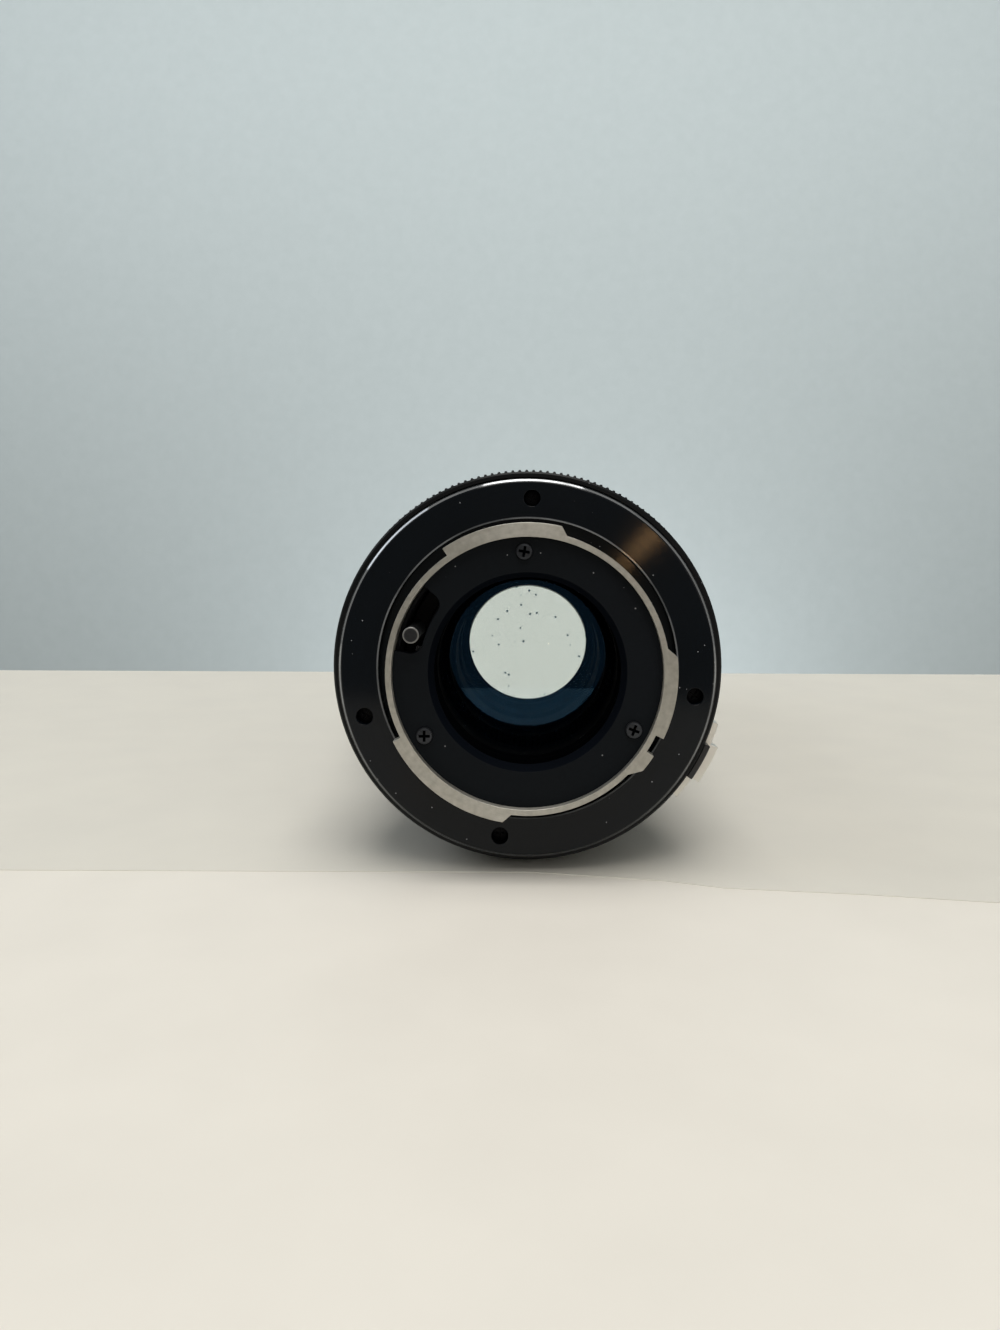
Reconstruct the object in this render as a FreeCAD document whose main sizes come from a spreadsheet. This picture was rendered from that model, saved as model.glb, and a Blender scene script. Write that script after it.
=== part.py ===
import FreeCAD, Part
import math
import os

import Sketcher

# Telephoto zoom lens, push-pull zoom with a turning grip for focus. Millimetres and degrees.
# The optical axis is +Y, from the bayonet to the front. The origin is on it, in the flange face.
# Angles are seen from the rear: 0 is +X, 90 is +Z.

SIZES = {
    # bayonet and flange
    "throatRadius": 21.41, "tubeWall": 0.94, "bayonetDepth": 5.5,
    "lugHeight": 1.32, "lugThickness": 1.9,
    "topLugStartAngle": 77.0, "topLugEndAngle": 124.6, "topLugRampAngle": 3.0,
    "leftLugStartAngle": 207.1, "leftLugEndAngle": 260.7, "leftLugRampAngle": 2.9,
    "rightLugStartAngle": 320.0, "rightLugEndAngle": 366.4, "rightLugRampAngle": 5.1,
    "rightLugEndRampAngle": 3.7,
    "notchStartAngle": 327.0, "notchEndAngle": 334.4,
    "bayonetFootWidth": 3.15, "bayonetFootThickness": 1.5,
    "flangeBoreGap": 1.9, "flangeRim": 1.88, "flangeChamfer": 0.6, "flangeThickness": 4.5,
    "flangeRecess": 2.2,
    "flangeHoleRadius": 1.35, "flangeHoleLand": 0.72, "flangeScrewSink": 1.6,
    "flangeScrewHead": 1.2, "flangeScrewRadius": 0.85,
    "topHoleAngle": 88.7, "leftHoleAngle": 196.75, "bottomHoleAngle": 260.85,
    "rightHoleAngle": 350.6,
    # baffle plate and its screws
    "baffleSink": 1.3, "baffleThickness": 1.6, "baffleWidth": 5.65, "openingBevel": 0.9,
    "baffleScrewInset": 2.34, "baffleScrewAngle": 91.8, "baffleScrewHead": 1.3,
    "baffleScrewHeight": 0.7, "baffleScrewRadius": 0.8, "baffleScrewLength": 3.4,
    "slotDepth": 4.21, "slotOvercut": 1.0, "slotStartAngle": 140.6, "slotEndAngle": 171.2,
    "slotCorner": 1.9,
    # rear frame
    "webThickness": 2.5, "centreTubeWall": 1.2, "centreTubeRear": 2.4,
    "sleeveWall": 0.6, "earRadius": 2.2, "earHeight": 3.0,
    "bearingStep": 1.2, "bearingWall": 1.0, "bearingFront": 24.0, "irisSeat": 30.0,
    # stop-down lever
    "leverRear": 3.5, "leverThickness": 1.5, "leverGap": 0.41, "leverWidth": 2.55,
    "snapRingWidth": 1.0,
    "snapRingThickness": 0.7, "snapStartAngle": 138.0, "snapEndAngle": 170.0,
    "stopPinRadius": 1.3, "stopPinInset": 1.15, "stopPinAngle": 161.6, "stopPinReach": 2.7,
    "armInset": 1.3, "armThickness": 1.0, "armAngle": 196.0, "armHalfAngle": 4.0,
    "leverTravelAngle": 16.0,
    "springRadius": 1.1, "springPlace": 14.0, "postRadius": 0.7, "postOutset": 0.67,
    "postAngle": 157.0, "postLength": 7.0,
    # iris
    "irisStep": 2.1, "bladeStep": 0.4, "bladeWidth": 4.8, "bladeThickness": 0.2,
    "bladePitch": 0.3, "bladeSpanAngle": 125.0, "bladePivotInset": 1.4, "bladePinRadius": 0.45,
    "bladeDriveAngle": 12.0, "bladeTravelAngle": 30.0, "bladeCount": 6, "earMargin": 0.9,
    "earOverlap": 0.5, "earSpanAngle": 52.0,
    "irisPlateThickness": 1.2, "irisPlateLand": 1.1, "irisPostOutset": 1.0,
    "irisPostRadius": 0.9, "irisCoverThickness": 1.0, "camRingThickness": 1.3,
    "camRingWidth": 5.5, "camEarOverlap": 0.5, "camEarRise": 0.6, "camEarMarginAngle": 3.0,
    # aperture ring, its coupling tab and its click
    "ringRear": 2.6, "ringLipWall": 0.9, "ringEdge": 0.3, "ringFront": 20.0,
    "knurlRear": 8.4, "knurlFront": 14.8, "knurlHeight": 0.7, "knurlSlope": 0.5,
    "ringTaper": 0.8, "ringTravelAngle": 58.0, "clickCount": 9, "clickDepth": 0.2,
    "tabAngle": 330.825, "tabHalfAngle": 5.475, "tabRise": 1.05, "tabThickness": 2.5,
    "carrierRise": 2.9, "carrierThickness": 2.6, "wingRise": 1.5,
    "wingUpperAngle": 342.6, "wingLowerAngle": 318.3,
    "tabScrewRadius": 0.7, "tabScrewHead": 1.2, "tabScrewAngle": 3.0,
    "ballRadius": 1.2, "ballAngle": 60.0, "ballPlace": 10.0, "clickSpringThickness": 0.3,
    "clickSpringHalfAngle": 14.0, "clickSpringWidth": 4.0,
    # fixed barrel and collar
    "collarFront": 25.5, "collarChamfer": 0.5, "setScrewRadius": 0.8, "setScrewSink": 0.3,
    "barrelRear": 14.0, "barrelWall": 1.2, "barrelFront": 127.4,
    "barrelLip": 1.2, "barrelLipThickness": 1.5, "stopRingWidth": 1.3, "stopRingThickness": 1.2,
    # cam tube
    "camTubeWall": 1.2, "camTubeRear": 38.5, "camTubeFront": 99.0, "camTurnAngle": 60.0,
    "zoomTravel": 30.0, "compensatorTravel": 6.0,
    "pinRadius": 1.2, "zoomPinPlace": 92.2, "zoomPinAngle": 90.0,
    "compensatorPinPlace": 50.0, "compensatorPinAngle": 30.0, "guideGrooveDepth": 0.6,
    # carriages
    "carriageWall": 1.2, "carriageHalfLength": 6.0, "carriageWeb": 2.0,
    "variatorTube": 1.0, "variatorGlass": 13.2, "variatorTubeRear": 10.0,
    "compensatorGlass": 14.5, "pinSeat": 0.4, "pinSink": 0.3,
    # zoom ring, grip and focus sleeve
    "zoomRingWall": 1.15, "zoomRingHalfLength": 2.0, "keyGrooveDepth": 0.55,
    "keyGrooveHalfLength": 1.0, "keyHalfAngle": 4.8, "keyHalfLength": 0.9,
    "sleeveThickness": 0.8, "sleeveRear": 58.5, "sleeveFront": 126.0,
    "sleeveBearing": 6.5, "tongueHalfAngle": 6.0, "tongueLength": 14.0,
    "gripWall": 0.9, "gripRear": 56.0, "gripFront": 125.0, "gripLip": 2.0, "gripChamfer": 0.6,
    "gripRimRise": 0.7, "gripRimLength": 4.0, "scaleLandLength": 15.0, "scaleLandRise": 0.5,
    "rubberThickness": 1.1, "rubberRibs": 36, "rubberGrooveDepth": 0.7,
    "rubberGrooveHalfAngle": 1.2, "rubberBorder": 2.0,
    # helicoid and front barrel
    "helicoidWall": 1.3, "helicoidRear": 101.0,
    "skirtRear": 126.4, "skirtWall": 1.4, "frontRear": 129.0, "frontBoreGap": 0.6,
    "frontWebRear": 141.0, "frontWebFront": 144.5, "rimRear": 139.0, "rimSlope": 1.2, "rimRise": 1.0,
    "bezelLand": 2.1, "bezelLip": 1.2, "bezelThickness": 1.5, "filterLand": 0.6, "filterDepth": 6.0,
    "frontChamfer": 0.8,
    # glass
    "frontCellWall": 1.5, "frontCellLength": 21.0, "frontCellLip": 1.0, "frontCellSill": 1.5,
    "frontGlassSink": 0.6, "crownThickness": 7.5, "flintThickness": 3.0, "singletThickness": 6.0,
    "frontSpacerWall": 1.2, "crownFrontCurve": 92.0, "crownRearCurve": 130.0, "singletCurve": 110.0,
    "cellSink": 0.6, "rearCellWall": 0.9, "rearGlassSink": 1.6, "rearGlassLength": 7.4,
    "rearGlassCurve": 62.0, "rearRingSink": 0.4, "rearRingWall": 0.6,
    "relayCellLand": 1.9, "relaySill": 1.0, "relayStep": 9.5, "relayRearThickness": 5.0,
    "relayFrontThickness": 4.5, "relayRearCurve": 40.0, "relayFrontCurve": 55.0,
    "relaySpacerWall": 0.8, "relayRingWall": 1.0,
    "variatorRearThickness": 3.0, "variatorAirGap": 1.5, "variatorSpacerWall": 0.8,
    "variatorRearHollow": 1.4, "variatorFrontHollow": 2.0,
    "variatorRearCurve": 45.0, "variatorFrontCurve": 48.0,
    "compensatorThickness": 4.0, "compensatorHollow": 1.6, "compensatorCurve": 52.0,
    # clearances
    "runningGap": 0.15, "slidingGap": 0.2, "slotGap": 0.1, "pinGap": 0.05,
}

doc = FreeCAD.newDocument("zoom_lens")
sheet = doc.addObject("Spreadsheet::Sheet", "Sizes")


class Size:
    """A length or angle, with the text that binds an object of the document to the sheet."""

    def __init__(self, text, value):
        self.text = text
        self.value = value

    def joined(self, sign, other, value):
        return Size(f"({self.text} {sign} {textOf(other)})", value)

    def __add__(self, other):
        return self.joined("+", other, self.value + valueOf(other))

    def __sub__(self, other):
        return self.joined("-", other, self.value - valueOf(other))

    def __mul__(self, other):
        return self.joined("*", other, self.value * valueOf(other))

    def __truediv__(self, other):
        return self.joined("/", other, self.value / valueOf(other))

    def __neg__(self):
        return Size(f"(-1 * {self.text})", -self.value)


def valueOf(size):
    return size.value if isinstance(size, Size) else float(size)


def textOf(size):
    return size.text if isinstance(size, Size) else repr(float(size))


def cosine(angle):
    return Size(f"cos({textOf(angle)})", math.cos(math.radians(valueOf(angle))))


def sine(angle):
    return Size(f"sin({textOf(angle)})", math.sin(math.radians(valueOf(angle))))


def angleAcross(half_width, radius):
    """The angle that half a width takes at a radius."""
    ratio = half_width / radius
    return Size(f"(asin({ratio.text}) / 1 deg)", math.degrees(math.asin(ratio.value)))


def sagOf(radius, curve):
    """How far a ball's face falls back from its vertex at a radius."""
    fall = curve.value - math.sqrt(curve.value ** 2 - radius.value ** 2)
    return Size(f"({curve.text} - sqrt({curve.text} ^ 2 - {radius.text} ^ 2))", fall)


for row, (alias, value) in enumerate(SIZES.items(), start=1):
    sheet.set(f"A{row}", alias)
    sheet.set(f"B{row}", str(value))
    sheet.setAlias(f"B{row}", alias)
doc.recompute()


class Named:
    """Every size of the sheet under its own name."""


size = Named()
for alias, value in SIZES.items():
    setattr(size, alias, Size(f"Sizes.{alias}", float(value)))

FACE = Size("0", 0.0)
ABOUT_Y = FreeCAD.Vector(0, 1, 0)
ABOUT_X = FreeCAD.Vector(1, 0, 0)
pieces = {}


def bind(thing, field, amount):
    """Sets a field of an object from a size, and ties it to the sheet."""
    if isinstance(amount, Size):
        thing.setExpression(field, amount.text)
    else:
        setattr(thing, field, amount)


def bindPlace(thing, x, y, z):
    for axis, amount in (("x", x), ("y", y), ("z", z)):
        if isinstance(amount, Size):
            thing.setExpression(f"Placement.Base.{axis}", amount.text)


def keep(node, thing):
    """Names a finished sub-part."""
    thing.Label = node
    pieces[node] = thing
    return thing


def turned(name, outline, start=None, end=None):
    """A body turned about the optical axis from an outline of (radius, place) points.
    With start and end it is only the sector between those angles."""
    body = doc.addObject("PartDesign::Body", name)
    plane = next(o for o in body.Origin.OriginFeatures if o.Role == "XY_Plane")
    sketch = body.newObject("Sketcher::SketchObject", f"{name}_outline")
    sketch.AttachmentSupport = [(plane, "")]
    sketch.MapMode = "FlatFace"
    points = [FreeCAD.Vector(valueOf(r), valueOf(y), 0) for r, y in outline]
    count = len(points)
    for i in range(count):
        sketch.addGeometry(Part.LineSegment(points[i], points[(i + 1) % count]))
    for i in range(count):
        sketch.addConstraint(Sketcher.Constraint("Coincident", i, 2, (i + 1) % count, 1))
    for i, (radius, place) in enumerate(outline):
        across = sketch.addConstraint(Sketcher.Constraint("DistanceX", -1, 1, i, 1, points[i].x))
        along = sketch.addConstraint(Sketcher.Constraint("DistanceY", -1, 1, i, 1, points[i].y))
        sketch.setExpression(f"Constraints[{across}]", textOf(radius))
        sketch.setExpression(f"Constraints[{along}]", textOf(place))
    turn = body.newObject("PartDesign::Revolution", f"{name}_turn")
    turn.Profile = sketch
    turn.ReferenceAxis = (sketch, ["V_Axis"])
    turn.Angle = 360
    if end is not None:
        rotation = FreeCAD.Rotation(ABOUT_Y, -valueOf(end))
        sketch.AttachmentOffset = FreeCAD.Placement(FreeCAD.Vector(0, 0, 0), rotation)
        # the sketch is tilted about the axis to the sector's far side, and turns back to its near one
        sketch.setExpression("AttachmentOffset.Rotation.Axis.y", "1")
        sketch.setExpression("AttachmentOffset.Rotation.Angle", (-end).text)
        turn.setExpression("Angle", (end - start).text)
    body.Tip = turn
    return body


def band(inner, outer, rear, front):
    """A rectangular outline for turned()."""
    return [(inner, rear), (outer, rear), (outer, front), (inner, front)]


def rod(name, radius, length, circle, angle, place):
    """A cylinder along the lens, on a circle about its axis."""
    cylinder = doc.addObject("Part::Cylinder", name)
    cylinder.Placement.Rotation = FreeCAD.Rotation(ABOUT_X, -90)
    bind(cylinder, "Radius", radius)
    bind(cylinder, "Height", length)
    bindPlace(cylinder, circle * cosine(angle), place, circle * sine(angle))
    return cylinder


def spoke(name, radius, inner, outer, angle, place):
    """A cylinder that points away from the lens's axis, from one radius to another."""
    cylinder = doc.addObject("Part::Cylinder", name)
    cylinder.Placement.Rotation = FreeCAD.Rotation(ABOUT_Y, 90 - valueOf(angle))
    cylinder.setExpression("Placement.Rotation.Angle", f"90 - {textOf(angle)}")
    bind(cylinder, "Radius", radius)
    bind(cylinder, "Height", outer - inner)
    bindPlace(cylinder, inner * cosine(angle), place, inner * sine(angle))
    return cylinder


def joined(name, things):
    fuse = doc.addObject("Part::MultiFuse", name)
    fuse.Shapes = things
    return fuse


def grouped(name, things):
    group = doc.addObject("Part::Compound", name)
    group.Links = things
    return group


def cutFrom(name, base, tools):
    cut = doc.addObject("Part::Cut", name)
    cut.Base = base
    cut.Tool = tools[0] if len(tools) == 1 else grouped(f"{name}_tools", tools)
    return cut


def shaped(name, shape):
    """A sub-part whose form no primitive has, from a shape worked out from the sheet's sizes."""
    feature = doc.addObject("Part::Feature", name)
    feature.Shape = shape
    return feature


def polar(radius, angle, place):
    turn = math.radians(angle)
    return FreeCAD.Vector(radius * math.cos(turn), place, radius * math.sin(turn))


# Bayonet ring: a thin tube with three lugs, clamped by its foot under the flange

tube_radius = size.throatRadius + size.tubeWall
lug_radius = tube_radius + size.lugHeight
rear_end = -size.bayonetDepth
foot_radius = tube_radius + size.bayonetFootWidth
web_rear = size.flangeThickness + size.bayonetFootThickness
hole_circle = foot_radius + size.flangeHoleLand + size.flangeHoleRadius
flange_radius = hole_circle + size.flangeHoleRadius + size.flangeRim
flange_bore = tube_radius + size.flangeBoreGap
bearing_radius = flange_radius - size.bearingStep
bearing_bore = bearing_radius - size.bearingWall
inner_sleeve = size.throatRadius - size.pinGap * 2
lever_radius = inner_sleeve - size.sleeveWall - size.leverGap
centre_radius = lever_radius - size.leverWidth - size.runningGap
cell_bore = centre_radius - size.centreTubeWall
arm_inner = lever_radius - size.armInset
arm_outer = arm_inner + size.armThickness


def lug(name, start, end, start_ramp, end_ramp):
    """A lug whose ends slope down to the tube, over an angle of their own."""
    inner, outer, rear = tube_radius.value, lug_radius.value, rear_end.value
    low, high = polar(inner, start - start_ramp, rear), polar(outer, start, rear)
    far_high, far_low = polar(outer, end, rear), polar(inner, end + end_ramp, rear)
    crest = polar(outer, (start + end) / 2, rear)
    sole = polar(inner, (start - start_ramp + end + end_ramp) / 2, rear)
    edges = [
        Part.makeLine(low, high),
        Part.Arc(high, crest, far_high).toShape(),
        Part.makeLine(far_high, far_low),
        Part.Arc(far_low, sole, low).toShape(),
    ]
    face = Part.Face(Part.Wire(edges))
    return shaped(name, face.extrude(FreeCAD.Vector(0, size.lugThickness.value, 0)))


tube = turned("bayonet_tube", [
    (size.throatRadius, rear_end), (tube_radius, rear_end), (tube_radius, size.flangeThickness),
    (foot_radius, size.flangeThickness), (foot_radius, web_rear), (size.throatRadius, web_rear),
])
lugs = [
    lug("top_lug", size.topLugStartAngle.value, size.topLugEndAngle.value,
        size.topLugRampAngle.value, 0),
    lug("left_lug", size.leftLugStartAngle.value, size.leftLugEndAngle.value, 0,
        size.leftLugRampAngle.value),
    lug("right_lug", size.rightLugStartAngle.value, size.rightLugEndAngle.value,
        size.rightLugRampAngle.value, size.rightLugEndRampAngle.value),
]
notch = turned("lock_notch",
               band(tube_radius, lug_radius + size.lugHeight, rear_end - size.lugThickness,
                    rear_end + size.lugThickness * 2),
               size.notchStartAngle, size.notchEndAngle)
keep("bayonet_ring", cutFrom("bayonet_cut", joined("bayonet_blank", [tube] + lugs), [notch]))

# Flange: the face that seats on the camera, with its four sunk screws

flange = turned("flange_blank", [
    (flange_bore, FACE), (flange_radius - size.flangeChamfer, FACE),
    (flange_radius, size.flangeChamfer), (flange_radius, web_rear),
    (foot_radius + size.pinGap, web_rear), (foot_radius + size.pinGap, size.flangeThickness),
    (tube_radius, size.flangeThickness), (tube_radius, size.flangeRecess),
    (flange_bore, size.flangeRecess),
])
hole_angles = [size.topHoleAngle, size.leftHoleAngle, size.bottomHoleAngle, size.rightHoleAngle]
head_seat = size.flangeScrewSink + size.flangeScrewHead
screw_end = web_rear + size.webThickness
flange_holes = []
flange_screws = []
frame_holes = []
for number, angle in enumerate(hole_angles, start=1):
    circle = hole_circle
    flange_holes.append(rod(f"sunk_hole_{number}", size.flangeHoleRadius, head_seat,
                            circle, angle, FACE))
    flange_holes.append(rod(f"screw_hole_{number}", size.flangeScrewRadius, screw_end,
                            circle, angle, FACE))
    head = rod(f"flange_head_{number}", size.flangeHoleRadius - size.pinGap, size.flangeScrewHead,
               circle, angle, size.flangeScrewSink)
    shank = rod(f"flange_shank_{number}", size.flangeScrewRadius, screw_end - size.flangeScrewSink,
                circle, angle, size.flangeScrewSink)
    flange_screws.append(joined(f"flange_screw_{number}", [head, shank]))
    frame_holes.append(rod(f"frame_hole_{number}", size.flangeScrewRadius, size.webThickness,
                           circle, angle, web_rear))
keep("mount_flange", cutFrom("flange_cut", flange, flange_holes))
keep("flange_screws", grouped("flange_screw_set", flange_screws))

# Baffle plate behind the rear glass, with the slot for the stop-down pin

baffle_rear = rear_end + size.baffleSink
baffle_front = baffle_rear + size.baffleThickness
opening_radius = size.throatRadius - size.baffleWidth
baffle = turned("baffle_blank", [
    (opening_radius, baffle_rear), (size.throatRadius, baffle_rear),
    (size.throatRadius, baffle_front), (opening_radius - size.openingBevel, baffle_front),
])
screw_angles = [size.baffleScrewAngle, size.baffleScrewAngle + 120, size.baffleScrewAngle + 240]
slot_inner = size.throatRadius - size.slotDepth
corner_circle = slot_inner + size.slotCorner
corner_angle = angleAcross(size.slotCorner, corner_circle)
slot_rear = baffle_rear - size.slotOvercut
slot_front = baffle_front + size.slotOvercut
slot_reach = size.throatRadius + size.slotOvercut
slot_parts = [
    turned("slot_floor", band(slot_inner, slot_reach, slot_rear, slot_front),
           size.slotStartAngle + corner_angle, size.slotEndAngle - corner_angle),
    turned("slot_sides", band(corner_circle, slot_reach, slot_rear, slot_front),
           size.slotStartAngle, size.slotEndAngle),
]
corner_angles = (size.slotStartAngle + corner_angle, size.slotEndAngle - corner_angle)
for name, angle in zip(("near", "far"), corner_angles):
    slot_parts.append(rod(f"slot_corner_{name}", size.slotCorner, slot_front - slot_rear,
                          corner_circle, angle, slot_rear))
baffle_holes = [joined("pin_slot", slot_parts)]
baffle_screws = []
ears = []
ear_holes = []
for number, angle in enumerate(screw_angles, start=1):
    circle = size.throatRadius - size.baffleScrewInset
    radius = size.baffleScrewRadius
    baffle_holes.append(rod(f"baffle_hole_{number}", radius, slot_front - slot_rear,
                            circle, angle, slot_rear))
    head = rod(f"baffle_head_{number}", size.baffleScrewHead, size.baffleScrewHeight,
               circle, angle, baffle_rear - size.baffleScrewHeight)
    shank = rod(f"baffle_shank_{number}", radius, size.baffleScrewLength, circle, angle, baffle_rear)
    baffle_screws.append(joined(f"baffle_screw_{number}", [head, shank]))
    ears.append(rod(f"ear_{number}", size.earRadius, size.earHeight, circle, angle, baffle_front))
    ear_holes.append(rod(f"ear_hole_{number}", radius, size.earHeight, circle, angle, baffle_front))
keep("baffle_plate", cutFrom("baffle_cut", baffle, baffle_holes))
keep("baffle_screws", grouped("baffle_screw_set", baffle_screws))

# Rear frame: the casting that carries the mount, the aperture ring, the iris and the rear glass

web_front = web_rear + size.webThickness
frame_blank = turned("frame_blank", [
    (cell_bore, size.centreTubeRear), (centre_radius, size.centreTubeRear),
    (centre_radius, web_rear), (inner_sleeve - size.sleeveWall, web_rear),
    (inner_sleeve - size.sleeveWall, baffle_front), (inner_sleeve, baffle_front),
    (inner_sleeve, web_rear), (bearing_radius, web_rear),
    (bearing_radius, size.bearingFront), (bearing_bore, size.bearingFront),
    (bearing_bore, web_front), (centre_radius, web_front), (centre_radius, size.irisSeat),
    (cell_bore, size.irisSeat),
])
arm_slot = turned("arm_slot",
                  band(arm_inner - size.slidingGap, arm_outer + size.slidingGap,
                       web_rear - 1, web_front + 1),
                  size.armAngle - size.leverTravelAngle - size.armHalfAngle - 1.5,
                  size.armAngle + size.armHalfAngle + 1.5)
ball_circle = bearing_radius + size.pinGap - size.ballRadius
ball_hole = spoke("ball_hole", size.ballRadius + size.pinGap, bearing_bore - 1,
                  bearing_radius + 1, size.ballAngle, size.ballPlace)
frame_with_ears = joined("frame_with_ears", [frame_blank] + ears)
keep("rear_frame", cutFrom("frame_cut", frame_with_ears,
                           frame_holes + ear_holes + [arm_slot, ball_hole]))

# Click stop of the aperture ring: a ball pressed outwards by a leaf spring

ball = doc.addObject("Part::Sphere", "ball")
bind(ball, "Radius", size.ballRadius)
bindPlace(ball, ball_circle * cosine(size.ballAngle), size.ballPlace,
          ball_circle * sine(size.ballAngle))
keep("click_ball", ball)
leaf_radius = ball_circle - size.ballRadius
leaf = turned("leaf", band(leaf_radius - size.clickSpringThickness, leaf_radius, web_front,
                           web_front + size.clickSpringWidth),
              size.ballAngle - size.clickSpringHalfAngle,
              size.ballAngle + size.clickSpringHalfAngle)
keep("click_spring", leaf)

# Stop-down lever: a ring on the frame's centre tube, with the pin behind and an arm to the iris

lever_front = size.leverRear + size.leverThickness
cam_ring_rear = (size.irisSeat + size.irisPlateThickness + size.bladePitch * size.bladeCount
                 + size.slidingGap * 2)
cam_ring_front = cam_ring_rear + size.camRingThickness
lever_ring = turned("lever_ring", band(centre_radius + size.runningGap, lever_radius,
                                       size.leverRear, lever_front))
arm = turned("lever_arm", band(arm_inner, arm_outer, size.leverRear, cam_ring_front),
             size.armAngle - size.armHalfAngle, size.armAngle + size.armHalfAngle)
keep("stop_down_lever", joined("lever_fuse", [lever_ring, arm]))
pin_rear = baffle_rear - size.stopPinReach
keep("stop_down_pin", rod("stop_pin", size.stopPinRadius, size.leverRear - pin_rear,
                          lever_radius - size.stopPinInset, size.stopPinAngle, pin_rear))
# the snap ring is open where the pin swings past it
keep("lever_snap_ring", turned("snap_ring",
                               band(centre_radius, centre_radius + size.snapRingWidth,
                                    size.leverRear - size.snapRingThickness - size.slotGap,
                                    size.leverRear - size.slotGap),
                               size.snapEndAngle, size.snapStartAngle + 360))
post_circle = lever_radius + size.postOutset
keep("spring_post", rod("post", size.postRadius, size.postLength, post_circle,
                        size.postAngle, web_front))
spring_x = post_circle * cosine(size.postAngle)
spring_low = arm_inner * sine(size.armAngle - size.armHalfAngle) + size.slotGap
spring_high = post_circle * sine(size.postAngle) - size.postRadius
spring_walls = []
for name, radius in (("spring_outside", size.springRadius), ("spring_hollow", size.springRadius / 2)):
    wall = doc.addObject("Part::Cylinder", name)
    bind(wall, "Radius", radius)
    bind(wall, "Height", spring_high - spring_low)
    bindPlace(wall, spring_x, size.springPlace, spring_low)
    spring_walls.append(wall)
keep("lever_return_spring", cutFrom("spring_coil", spring_walls[0], spring_walls[1:]))

# Iris: a fixed housing plate, six blades and the ring that turns them

rear_glass = cell_bore - size.rearCellWall
relay_glass = rear_glass - size.relayCellLand
iris_opening = relay_glass - size.irisStep
iris_plate_radius = centre_radius + size.irisPlateLand
post_ring = iris_plate_radius + size.irisPostOutset
pivot_circle = iris_plate_radius - size.bladePivotInset
iris_plate_front = size.irisSeat + size.irisPlateThickness
cover_rear = cam_ring_front + size.slidingGap
post_angles = [90.0, 230.0, 330.0]
plate_blank = turned("iris_plate", band(iris_opening, iris_plate_radius, size.irisSeat,
                                        iris_plate_front))
blade_step = 360.0 / int(size.bladeCount.value)
blade_angles = [blade_step * number for number in range(int(size.bladeCount.value))]
housing_parts = [plate_blank]
cover_parts = [turned("iris_cover_plate",
                      band(iris_opening, iris_plate_radius, cover_rear,
                           cover_rear + size.irisCoverThickness))]
for number, angle in enumerate(post_angles, start=1):
    housing_parts.append(rod(f"iris_post_{number}", size.irisPostRadius,
                             cover_rear - size.irisSeat, post_ring, angle, size.irisSeat))
    cover_parts.append(rod(f"cover_ear_{number}", size.irisPostRadius, size.irisCoverThickness,
                           post_ring, angle, cover_rear))
pivot_holes = [
    rod(f"pivot_hole_{number}", size.bladePinRadius + size.pinGap, size.irisPlateThickness,
        pivot_circle, angle, size.irisSeat)
    for number, angle in enumerate(blade_angles, start=1)
]
keep("iris_housing", cutFrom("housing_cut", joined("housing_fuse", housing_parts), pivot_holes))
keep("iris_cover", joined("cover_fuse", cover_parts))


def sectorFace(inner, outer, start, end, place):
    """A flat ring sector, square to the lens's axis."""
    middle = (start + end) / 2
    edges = [
        Part.makeLine(polar(inner, start, place), polar(outer, start, place)),
        Part.Arc(polar(outer, start, place), polar(outer, middle, place),
                 polar(outer, end, place)).toShape(),
        Part.makeLine(polar(outer, end, place), polar(inner, end, place)),
        Part.Arc(polar(inner, end, place), polar(inner, middle, place),
                 polar(inner, start, place)).toShape(),
    ]
    return Part.Face(Part.Wire(edges))


def pinAt(radius, circle, angle, rear, front):
    return Part.makeCylinder(radius, front - rear, polar(circle, angle, rear), ABOUT_Y)


def bladeShape(angle, layer):
    """A crescent with an ear that holds its pivot pin behind and its drive pin in front."""
    inner, width = (iris_opening + size.bladeStep).value, size.bladeWidth.value
    ear_outer = pivot_circle.value + size.earMargin.value
    thickness = FreeCAD.Vector(0, size.bladeThickness.value, 0)
    rear = iris_plate_front.value + size.slidingGap.value + layer * size.bladePitch.value
    drive = angle + size.bladeDriveAngle.value
    crescent = sectorFace(inner, inner + width, angle - 3, angle + size.bladeSpanAngle.value, rear)
    ear_inner = inner + width - size.earOverlap.value
    ear = sectorFace(ear_inner, ear_outer, angle - 3, angle + size.earSpanAngle.value, rear)
    blade = crescent.extrude(thickness).fuse(ear.extrude(thickness))
    pivot = pinAt(size.bladePinRadius.value, pivot_circle.value, angle,
                  size.irisSeat.value, rear)
    driver = pinAt(size.bladePinRadius.value, pivot_circle.value, drive,
                   rear + size.bladeThickness.value, cam_ring_front.value)
    return blade.fuse([pivot, driver]).removeSplitter()


for layer, angle in enumerate(blade_angles):
    keep(f"iris_blade_{layer + 1}", shaped(f"blade_{layer + 1}", bladeShape(angle, layer)))


def drivePinPlace(angle, closed):
    """Where a blade's drive pin stands in the cam ring, from open (0) to closed (1)."""
    pivot = polar(pivot_circle.value, angle, 0)
    pin = polar(pivot_circle.value, angle + size.bladeDriveAngle.value, 0)
    swing = FreeCAD.Rotation(ABOUT_Y, -size.bladeTravelAngle.value * closed)
    turn = FreeCAD.Rotation(ABOUT_Y, -size.leverTravelAngle.value * closed)
    return turn.multVec(pivot + swing.multVec(pin - pivot))


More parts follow.
